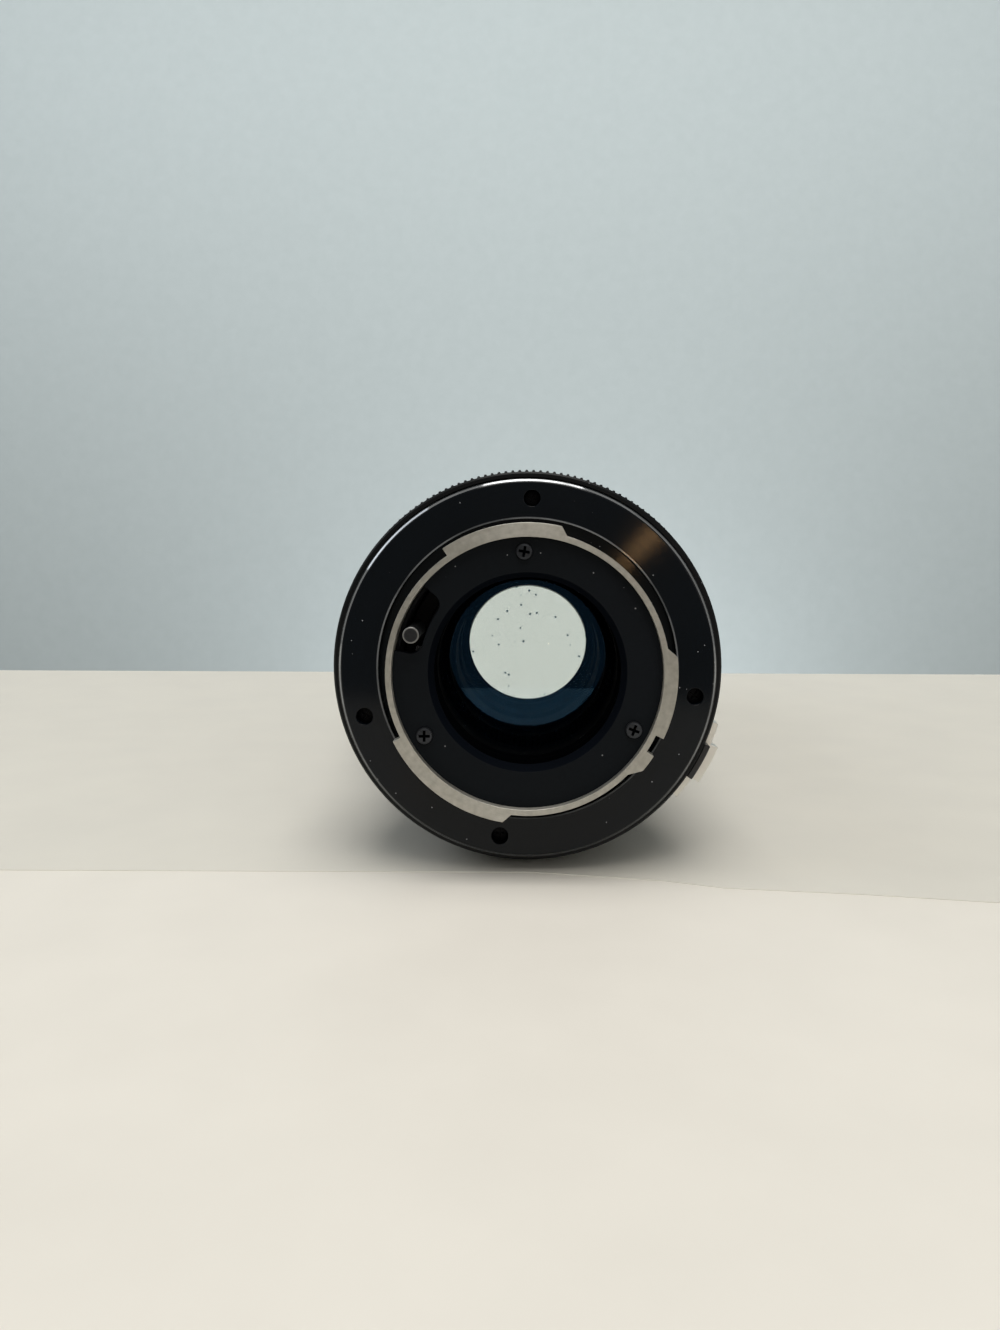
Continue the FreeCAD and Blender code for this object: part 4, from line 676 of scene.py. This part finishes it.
softCopy("bayonetRing", "bayonet_ring", nickelFinish, "barrel", {"edge": 0.14})
softCopy("mountFlange", "mount_flange", flangeFinish, "barrel", {"edge": 0.1})
sunkLook = {"angles": (88.7, 196.75, 260.85, 350.6), "tilts": (0.3, 0.9, 1.4, 0.5), "circle": 27.57,
            "radius": 1.28, "height": 1.0, "rear": 1.62, "rim": 0.25, "slot": 0.34, "arm": 0.8,
            "depth": 0.45}
# painted shade: the sunk heads take the darker steel
newPiece("flangeScrews", screwSet(sunkLook), sunkShadeFinish, "barrel", ["flange_screws"])

baffleLook = {"edge": 0.1, "coneWithin": 18.2, "steepest": 0.95}
baffle = softCopy("bafflePlate", "baffle_plate", paintFinish, "barrel", baffleLook)
# painted shade: the cone faces take the darker copy of the paint
repaint(baffle, coneShadeFinish, lambda face: abs(face.normal.y) < baffleLook["steepest"]
        and math.hypot(face.center.x, face.center.z) < baffleLook["coneWithin"] * mm)

headLook = {"angles": (91.8, 211.8, 331.8), "tilts": (0.2, 0.55, -0.15), "circle": 19.07,
            "radius": 1.3, "height": 0.68, "rear": -4.9, "rim": 0.25, "slot": 0.44, "arm": 0.88,
            "depth": 0.55}
baffleHeads = newPiece("baffleScrews", screwSet(headLook), screwFinish, "barrel",
                       ["baffle_screws"])
headSpots = [polar(headLook["circle"], angle, headLook["rear"]) for angle in headLook["angles"]]


def inRecess(face):
    deep = face.center.y > (headLook["rear"] + 0.08) * mm
    reach = min((face.center - spot).length for spot in headSpots)
    return deep and reach < (headLook["arm"] + 0.2) * mm


repaint(baffleHeads, insideShadeFinish, inRecess)    # painted shade darkens the screws' recesses
softCopy("stopDownPin", "stop_down_pin", pinFinish, "iris_drive", pinLook)
# painted shade: the lever deep behind the slot takes the darker steel
softCopy("stopDownLever", "stop_down_lever", sunkShadeFinish, "iris_drive", {"edge": 0.1})
print("bayonet end made")

# Glasses and their black cells

rearGlassLook = {"radius": 15.5, "rear": 4.6, "rearCurve": 62.0, "front": 12.0, "frontCurve": 0}
rearGlass = newPiece("rearGlass", lensShape(rearGlassLook), rearGlassFinish, "barrel",
                     ["rear_element"])
repaint(rearGlass, coatingFinish, lambda face: face.center.y > (rearGlassLook["front"] - 0.1) * mm)
relayRearLook = {"radius": 13.6, "rear": 13.0, "rearCurve": 0, "front": 18.0, "frontCurve": 40.0}
newPiece("relayRearGlass", lensShape(relayRearLook), innerGlassFinish, "barrel",
         ["relay_rear_element"])
relayFrontLook = {"radius": 13.6, "rear": 22.5, "rearCurve": 0, "front": 27.0, "frontCurve": 55.0}
newPiece("relayFrontGlass", lensShape(relayFrontLook), innerGlassFinish, "barrel",
         ["relay_front_element"])
# painted light: the compensator glass glows
newPiece("compensatorGlass", cadCopy("compensator_element"), paintedLightFinish, "compensator",
         ["compensator_element"])
crownLow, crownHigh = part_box("front_crown_element")
crownLook = {"radius": crownHigh.x / mm, "rear": crownLow.y / mm, "rearCurve": 130.0,
             "front": crownHigh.y / mm, "frontCurve": 92.0}
newPiece("frontCrownGlass", lensShape(crownLook), frontGlassFinish, "front",
         ["front_crown_element"])
dress(innerGlassFinish, "variator_rear_element", "variator_front_element", "front_singlet",
      "front_flint_element")
# painted shade: the inner cells and rings take the darker copy of the paint
dress(insideShadeFinish, "rear_retaining_ring", "relay_spacer", "relay_locking_ring", "iris_housing", "iris_cover",
      "variator_cell", "variator_spacer", "compensator_cell", "front_cell", "front_spacer")
newPiece("rearCell", cadCopy("rear_cell"), insideShadeFinish, "barrel", ["rear_cell"])
# painted shade on the frame behind the slot
dress(frameShadeFinish, "rear_frame")
dress(springFinish, "click_ball", "click_spring", "lever_snap_ring", "spring_post", "zoom_pins",
      "compensator_pins", "grip_keys")
dress(brassFinish, "iris_cam_ring", "cam_retaining_ring", "sleeve_stop_rings", "zoom_ring")
dress(aluminiumFinish, "cam_tube", "helicoid_tube")
dress(bladeFinish, *[f"iris_blade_{number}" for number in range(1, 7)])

# the lever's return spring: its upper end stays on the frame's post, its lower end follows the lever
coilLook = {"turns": 8.0, "wire": 0.17, "sides": 8, "steps": 20}


def springCoil():
    # a wire wound up a straight axis: the tree has an input for each size
    tree = newTree("springCoil", "GeometryNodeTree",
                   {"Turns": "Float", "Steps": "Int", "Sides": "Int", "Wire": "Float", "Reach": "Float",
                    "Length": "Float", "Start": "Vector", "Finish": "Material"}, {"Geometry": "Geometry"})
    given = addNode(tree, "NodeGroupInput")
    helix = addNode(tree, "GeometryNodeCurveSpiral", {
        "Resolution": given.outputs["Steps"], "Rotations": given.outputs["Turns"],
        "Start Radius": given.outputs["Reach"], "End Radius": given.outputs["Reach"],
        "Height": given.outputs["Length"]})
    section = addNode(tree, "GeometryNodeCurvePrimitiveCircle", {
        "Resolution": given.outputs["Sides"], "Radius": given.outputs["Wire"]})
    wound = addNode(tree, "GeometryNodeCurveToMesh", {
        "Curve": helix, "Profile Curve": section, "Fill Caps": True})
    placed = addNode(tree, "GeometryNodeTransform", {
        "Geometry": wound, "Translation": given.outputs["Start"]})
    real = addNode(tree, "GeometryNodeRealizeInstances", {"Geometry": placed})
    painted = addNode(tree, "GeometryNodeSetMaterial", {
        "Geometry": real, "Material": given.outputs["Finish"]})
    addNode(tree, "NodeGroupOutput", {"Geometry": painted})
    return tree


coilLow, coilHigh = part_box("lever_return_spring")
coilMiddle = (coilLow + coilHigh) / 2
coilWire = coilLook["wire"] * mm
coil = grown(springCoil(), {
    "Turns": coilLook["turns"], "Steps": coilLook["steps"], "Sides": coilLook["sides"], "Wire": coilWire,
    "Reach": (coilHigh.x - coilLow.x) / 2 - coilWire, "Length": coilHigh.z - coilLow.z - 2 * coilWire,
    "Start": (coilMiddle.x, coilMiddle.y, coilLow.z + coilWire), "Finish": springFinish})
bmesh.ops.remove_doubles(coil, verts=coil.verts, dist=1e-7)
returnSpring = newPiece("returnSpring", facedOut(coil), springFinish, None,
                        ["lever_return_spring"])
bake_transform(returnSpring)

# a thin ring of painted shade that bounds the painted light at the iris
inner, outer, rear, front = (paintedShadeRingLook[key] for key in ("inner", "outer", "rear", "front"))
stopOutline = [(inner, rear), (outer, rear), (outer, front), (inner, front)]
newPiece("irisStop", lathe(stopOutline, steps=128), paintedShadeEdgeFinish, "barrel")
print("glasses and inner pieces made")

# Aperture ring with its knurl, click figures, coupling tab and silver block

ringLook = {"outline": [(31.1, 2.6), (31.7, 2.6), (32.0, 2.9), (32.0, 8.4), (32.2, 8.6), (32.2, 14.6),
                        (32.0, 14.8), (31.25, 19.7), (31.0, 20.0), (29.75, 20.0), (29.75, 6.3), (31.1, 6.3)],
            "teeth": 171, "rear": 8.5, "front": 14.7, "root": 32.1, "tip": 32.56, "half": 0.4, "land": 0.14,
            "taper": 0.25, "stops": ("4", "5.6", "8", "11", "16"), "stopStep": 14.5, "figureAt": 17.4,
            "coneFrom": (32.0, 14.9), "coneSlope": 0.1563}
teeth = copiesRound(knurlRidge(ringLook), barrelFinish, [
    {"count": ringLook["teeth"], "first": 0, "step": 360 / ringLook["teeth"]}])
newPiece("apertureRing", merged(lathe(ringLook["outline"], steps=180), teeth), barrelFinish, "aperture",
         ["aperture_ring"])


def ringRadius(place):
    return ringLook["coneFrom"][0] - (place - ringLook["coneFrom"][1]) * ringLook["coneSlope"]


stopMarks = [{"text": text, "size": 2.5, "angle": 90 - ringLook["stopStep"] * number,
              "place": ringLook["figureAt"]} for number, text in enumerate(ringLook["stops"])]
newPiece("apertureFigures", figures(stopMarks, ringRadius), whiteFill, "aperture")
softCopy("couplingTab", "coupling_tab", tabFinish, "aperture", {"edge": 0.2})
softCopy("tabCarrier", "tab_carrier", chromeFinish, "aperture", {"edge": 0.15})
wingLook = {"rear": 5.5, "front": 7.9, "root": 33.3, "tip": 33.68, "half": 0.2, "land": 0.07, "taper": 0.1,
            "sets": [{"count": 8, "first": 319.0, "step": 0.78}, {"count": 7, "first": 337.1, "step": 0.78}]}
newPiece("wingRidges", copiesRound(knurlRidge(wingLook), chromeFinish, wingLook["sets"]), chromeFinish,
         "aperture")
dress(chromeFinish, "tab_screws")
print("aperture ring made")

# Collar and fixed barrel

softCopy("barrelCollar", "barrel_collar", barrelFinish, "barrel", {"edge": 0.12})
dress(screwFinish, "collar_set_screws")
collarLook = {"radius": 31.2, "marks": [
    {"wide": 0.5, "long": 2.6, "angle": 90, "place": 22.4},
    {"wide": 1.3, "long": 1.3, "round": True, "angle": 98, "place": 22.6}]}
newPiece("collarIndex", figures(collarLook["marks"], lambda place: collarLook["radius"]), whiteFill,
         "barrel")
softCopy("mainBarrel", "main_barrel", barrelFinish, "barrel", {"edge": 0.1})
zoomLook = {"radius": 28.6, "lengths": (("80", 53.5), ("100", 45.5), ("135", 36.5), ("200", 27.5)),
            "textAngle": 84.5, "lineAngle": 99.5}
zoomMarks = []
for text, place in zoomLook["lengths"]:
    zoomMarks += [{"text": text, "size": 2.6, "angle": zoomLook["textAngle"], "place": place},
                  {"wide": 2.4, "long": 0.3, "angle": zoomLook["lineAngle"], "place": place}]
newPiece("zoomFigures", figures(zoomMarks, lambda place: zoomLook["radius"]), whiteFill, "barrel")
print("fixed barrel made")

# Focus sleeve and grip

softCopy("focusSleeve", "focus_sleeve", barrelFinish, "focus_drive", {"edge": 0.08})
gripLook = {"outline": [(28.75, 56.0), (32.0, 56.0), (32.6, 56.6), (32.6, 59.4), (32.35, 59.7), (31.9, 60.0),
                        (31.9, 110.0), (32.4, 110.0), (32.4, 124.4), (31.8, 125.0), (31.0, 125.0),
                        (31.0, 58.0), (28.75, 58.0)],
            "edge": 0.12, "scaleRadius": 32.4}
grip = newPiece("gripSleeve", lathe(gripLook["outline"]), barrelFinish, "grip",
                ["grip_sleeve"])
softenEdges(grip, gripLook["edge"])
scaleTurns = (0, 25, 62, 88, 118, 146, 163)
metreLook = {"place": 114.3, "texts": ("1.8", "2", "2.5", "3", "4", "6", "10"), "unit": ("m", 278)}
footLook = {"place": 119.3, "texts": ("6", "7", "8", "10", "15", "20", "30"), "unit": ("ft", 279)}


def scaleFigures(look):
    # a row of distances round the grip, with its unit after the last
    marks = [{"text": text, "size": 2.4, "angle": 90 + 180 - turn, "place": look["place"]}
             for text, turn in zip(look["texts"], scaleTurns)]
    marks += [{"text": look["unit"][0], "size": 2.2, "angle": look["unit"][1], "place": look["place"]}]
    return figures(marks, lambda place: gripLook["scaleRadius"])


newPiece("distanceMetres", scaleFigures(metreLook), whiteFill, "grip")
newPiece("distanceFeet", scaleFigures(footLook), amberFill, "grip")

rubberLook = {"columns": 36, "rows": 10, "rear": 60.1, "front": 109.9, "bore": 31.92, "floor": 32.25,
              "border": 32.9, "top": 32.98, "firstAngle": 5, "gap": 0.75, "taper": 0.22, "foot": 32.1,
              "padRadius": 32.6, "joint": 0.45}
rear, front, floor, border, top = (rubberLook[key] for key in ("rear", "front", "floor", "border", "top"))
rowLength = (front - rear - 2.0) / rubberLook["rows"]
sheet = lathe([(rubberLook["bore"], rear), (border - 0.2, rear), (border, rear + 0.3), (border, rear + 1.0),
               (floor, rear + 1.3), (floor, front - 1.3), (border, front - 1.0), (border, front - 0.3),
               (border - 0.2, front), (rubberLook["bore"], front)])
foot, padRadius = rubberLook["foot"], rubberLook["padRadius"]
halfWide = math.radians(180 / rubberLook["columns"]) * padRadius - rubberLook["joint"]
padOutline = [(foot, -halfWide), (top - 0.25, -halfWide), (top - 0.06, -halfWide + 0.18),
              (top, -halfWide * 0.5), (top, halfWide * 0.5), (top - 0.06, halfWide - 0.18),
              (top - 0.25, halfWide), (foot, halfWide)]
padRound = [(out - side * side / 2 / padRadius, side) for out, side in padOutline]
pad = prism(padRound, 0.0, rowLength - rubberLook["gap"], rubberLook["taper"])
pads = copiesRound(pad, rubberFinish, [
    {"count": rubberLook["columns"], "first": rubberLook["firstAngle"], "step": 360 / rubberLook["columns"],
     "place": rear + 1.35 + rowLength * row} for row in range(rubberLook["rows"])])
newPiece("rubberGrip", merged(sheet, pads), rubberFinish, "grip", ["rubber_grip"])
print("grip made")

# Front barrel, bezel and front thread

threadLook = {"pitch": 0.75, "rear": 146.4, "front": 151.4, "root": 28.95, "crest": 28.6}
crest, root, place = threadLook["crest"], threadLook["root"], threadLook["front"]
thread = []
while place > threadLook["rear"]:
    thread += [(crest, place), (crest, place - 0.12), (root, place - 0.37), (crest, place - 0.62)]
    place -= threadLook["pitch"]
frontLook = {"outside": [(29.2, 129.0), (31.0, 129.0), (31.0, 126.4), (32.2, 126.4), (32.4, 126.6),
                         (32.4, 139.0), (33.4, 140.2), (33.4, 143.4), (33.15, 143.6), (33.15, 144.0),
                         (33.4, 144.2), (33.4, 151.2), (32.6, 152.0), (28.9, 152.0)],
             "inside": [(28.6, 146.0), (28.0, 146.0), (28.0, 144.5), (25.9, 144.5), (25.9, 141.0),
                        (29.2, 141.0)], "edge": 0.08}
frontOutline = frontLook["outside"] + thread + frontLook["inside"]
frontBarrel = newPiece("frontBarrel", lathe(frontOutline), barrelFinish, "front",
                       ["front_barrel"])
softenEdges(frontBarrel, frontLook["edge"])
bezelLook = {"rear": [(23.2, 144.5), (28.0, 144.5), (28.0, 146.0)], "grooves": 4, "pitch": 0.9}
bezelOutline = list(bezelLook["rear"])
for number in range(bezelLook["grooves"]):
    out = 28.0 - number * bezelLook["pitch"]
    bezelOutline += [(out - 0.35, 146.0 - number * 0.02), (out - 0.5, 145.75), (out - 0.75, 145.75)]
bezelOutline += [(24.4, 145.95)]
newPiece("frontBezel", lathe(bezelOutline), paintFinish, "front", ["front_bezel"])
print("front made")

# Table, wall and light. The lens stands at the front edge of a pale board, on a paler table

stageLook = {"top": -33.4, "thick": 0.12, "deep": 30.0, "near": -153.5, "far": 208.7, "side": 1600,
             "wallAt": 1350.0, "wallThick": 50, "wallSide": 3200, "wallLow": -1600, "wallHigh": 2600,
             "frontLine": [(-1600, 1), (0.7, 1), (22, -2.6), (31, -5.6), (52, -8), (71, -11), (1600, -14)]}


def stagePiece(name, outline, low, high, material, soft=0.0):
    # an outline of (x, y) points, seen from above, raised between two levels
    shape = bmesh.new()
    floor = [shape.verts.new(Vector((x, y, low)) * mm) for x, y in outline]
    roof = [shape.verts.new(Vector((x, y, high)) * mm) for x, y in outline]
    shape.faces.new(list(reversed(floor)))
    shape.faces.new(roof)
    bridge(shape, floor, roof)
    piece = newObject(name, facedOut(shape), material)
    if soft:
        softenEdges(piece, soft, levels=3)


laminateLook = {"roughness": 0.55, "grainMm": 0.8, "bump": 0.03, "specular": 0.3}
boardFinish = grainedSurface("paleLaminate", {"dark": "#cecbc3", "light": "#d7d4cb", **laminateLook})
tableFinish = grainedSurface("palerLaminate", {"dark": "#dad6ce", "light": "#e1ddd5", **laminateLook})
wallFinish = grainedSurface("blueGreyWall", {
    "dark": "#a9b2b4", "light": "#b0b9bb", "roughness": 0.9, "grainMm": 3.0, "bump": 0.02, "specular": 0.2})
boardTop, side, wallFace, wallSide = (stageLook[key] for key in ("top", "side", "wallAt", "wallSide"))
tableTop, wallBack = boardTop - stageLook["thick"], wallFace + stageLook["wallThick"]
boardBack = [(side, stageLook["far"]), (-side, stageLook["far"])]
stagePiece("board", stageLook["frontLine"] + boardBack, tableTop, boardTop, boardFinish, soft=0.04)
stagePiece("table", [(-side, stageLook["near"]), (side, stageLook["near"])] + boardBack,
           boardTop - stageLook["deep"], tableTop, tableFinish, soft=2.0)
stagePiece("wall", [(-wallSide, wallFace), (wallSide, wallFace), (wallSide, wallBack), (-wallSide, wallBack)],
           stageLook["wallLow"], stageLook["wallHigh"], wallFinish)


def softLamp(name, place, aim, size, power, hexText, spread=180):
    # place, aim and size are in metres and the power in watts
    lamp = bpy.data.lights.new(name, "AREA")
    lamp.shape = "RECTANGLE"
    lamp.size, lamp.size_y = size
    lamp.energy = power
    lamp.spread = math.radians(spread)
    lamp.color = linear(hexText)[:3]
    holder = linked(name, lamp)
    holder.location = place
    holder.rotation_euler = (Vector(aim) - Vector(place)).to_track_quat("-Z", "Y").to_euler()
    holder.visible_camera = False


softLamp("ceilingLight", (0.06, -0.45, 1.6), (0.05, 0, 0), (1.1, 1.6), 26.5, "#fdfaf5")
softLamp("sideLight", (1.3, -1.5, 0.5), (0, 0, 0), (0.9, 0.9), 3.5, "#fbf9f4")
softLamp("windowLight", (-1.5, 0.0, 1.2), (0, 0, 0), (1.2, 1.0), 7, "#eef4fb")
softLamp("roomLight", (0.3, -2.2, 1.6), (0, 0.3, 0), (2.0, 1.2), 6, "#fbfbf8")
softLamp("wallLight", (0.0, 0.5, 1.5), (0, 1.35, 0.25), (3.0, 0.5), 9.8, "#f4f7f8", spread=90)
softLamp("wallGlow", (0.06, 0.98, -0.42), (0.06, 1.35, -0.02), (0.5, 0.12), 2.2, "#f4f7f8")
softLamp("warmLamp", (0.186, -1.39, -0.01), (0, 0, 0), (0.03, 0.03), 0.15, "#ffc888")    # the golden streak

bpy.context.scene.world = world = bpy.data.worlds.new("room")
world.use_nodes = True
world.node_tree.nodes.clear()
room = addNode(world.node_tree, "ShaderNodeBackground", {"Color": linear("#84837e")})
addNode(world.node_tree, "ShaderNodeOutputWorld", {"Surface": room})

# Camera: 162 mm behind the flange face and 25 mm above the axis, level, so that the flange stays a true
# circle. The photograph was cut from a larger one, so its frame is shifted.

cameraLook = {"place": (0.00006, -0.1621, 0.02467), "roll": 0.25, "focalPixels": 1000,
              "axisAt": (528.6, 515.9), "wide": 1000, "tall": 1330}
camera = bpy.data.cameras.new("photoCamera")
camera.lens = camera.sensor_width * cameraLook["focalPixels"] / cameraLook["tall"]
camera.shift_x = (cameraLook["wide"] / 2 - cameraLook["axisAt"][0]) / cameraLook["tall"]
camera.shift_y = (cameraLook["axisAt"][1] - cameraLook["tall"] / 2) / cameraLook["tall"]
camera.clip_start = 0.005
photoCamera = linked("photoCamera", camera)
photoCamera.location = cameraLook["place"]
photoCamera.rotation_euler = (math.radians(90), math.radians(-cameraLook["roll"]), 0)
bpy.context.scene.camera = photoCamera
bpy.context.scene.view_settings.view_transform = "Standard"

print("scene ready")
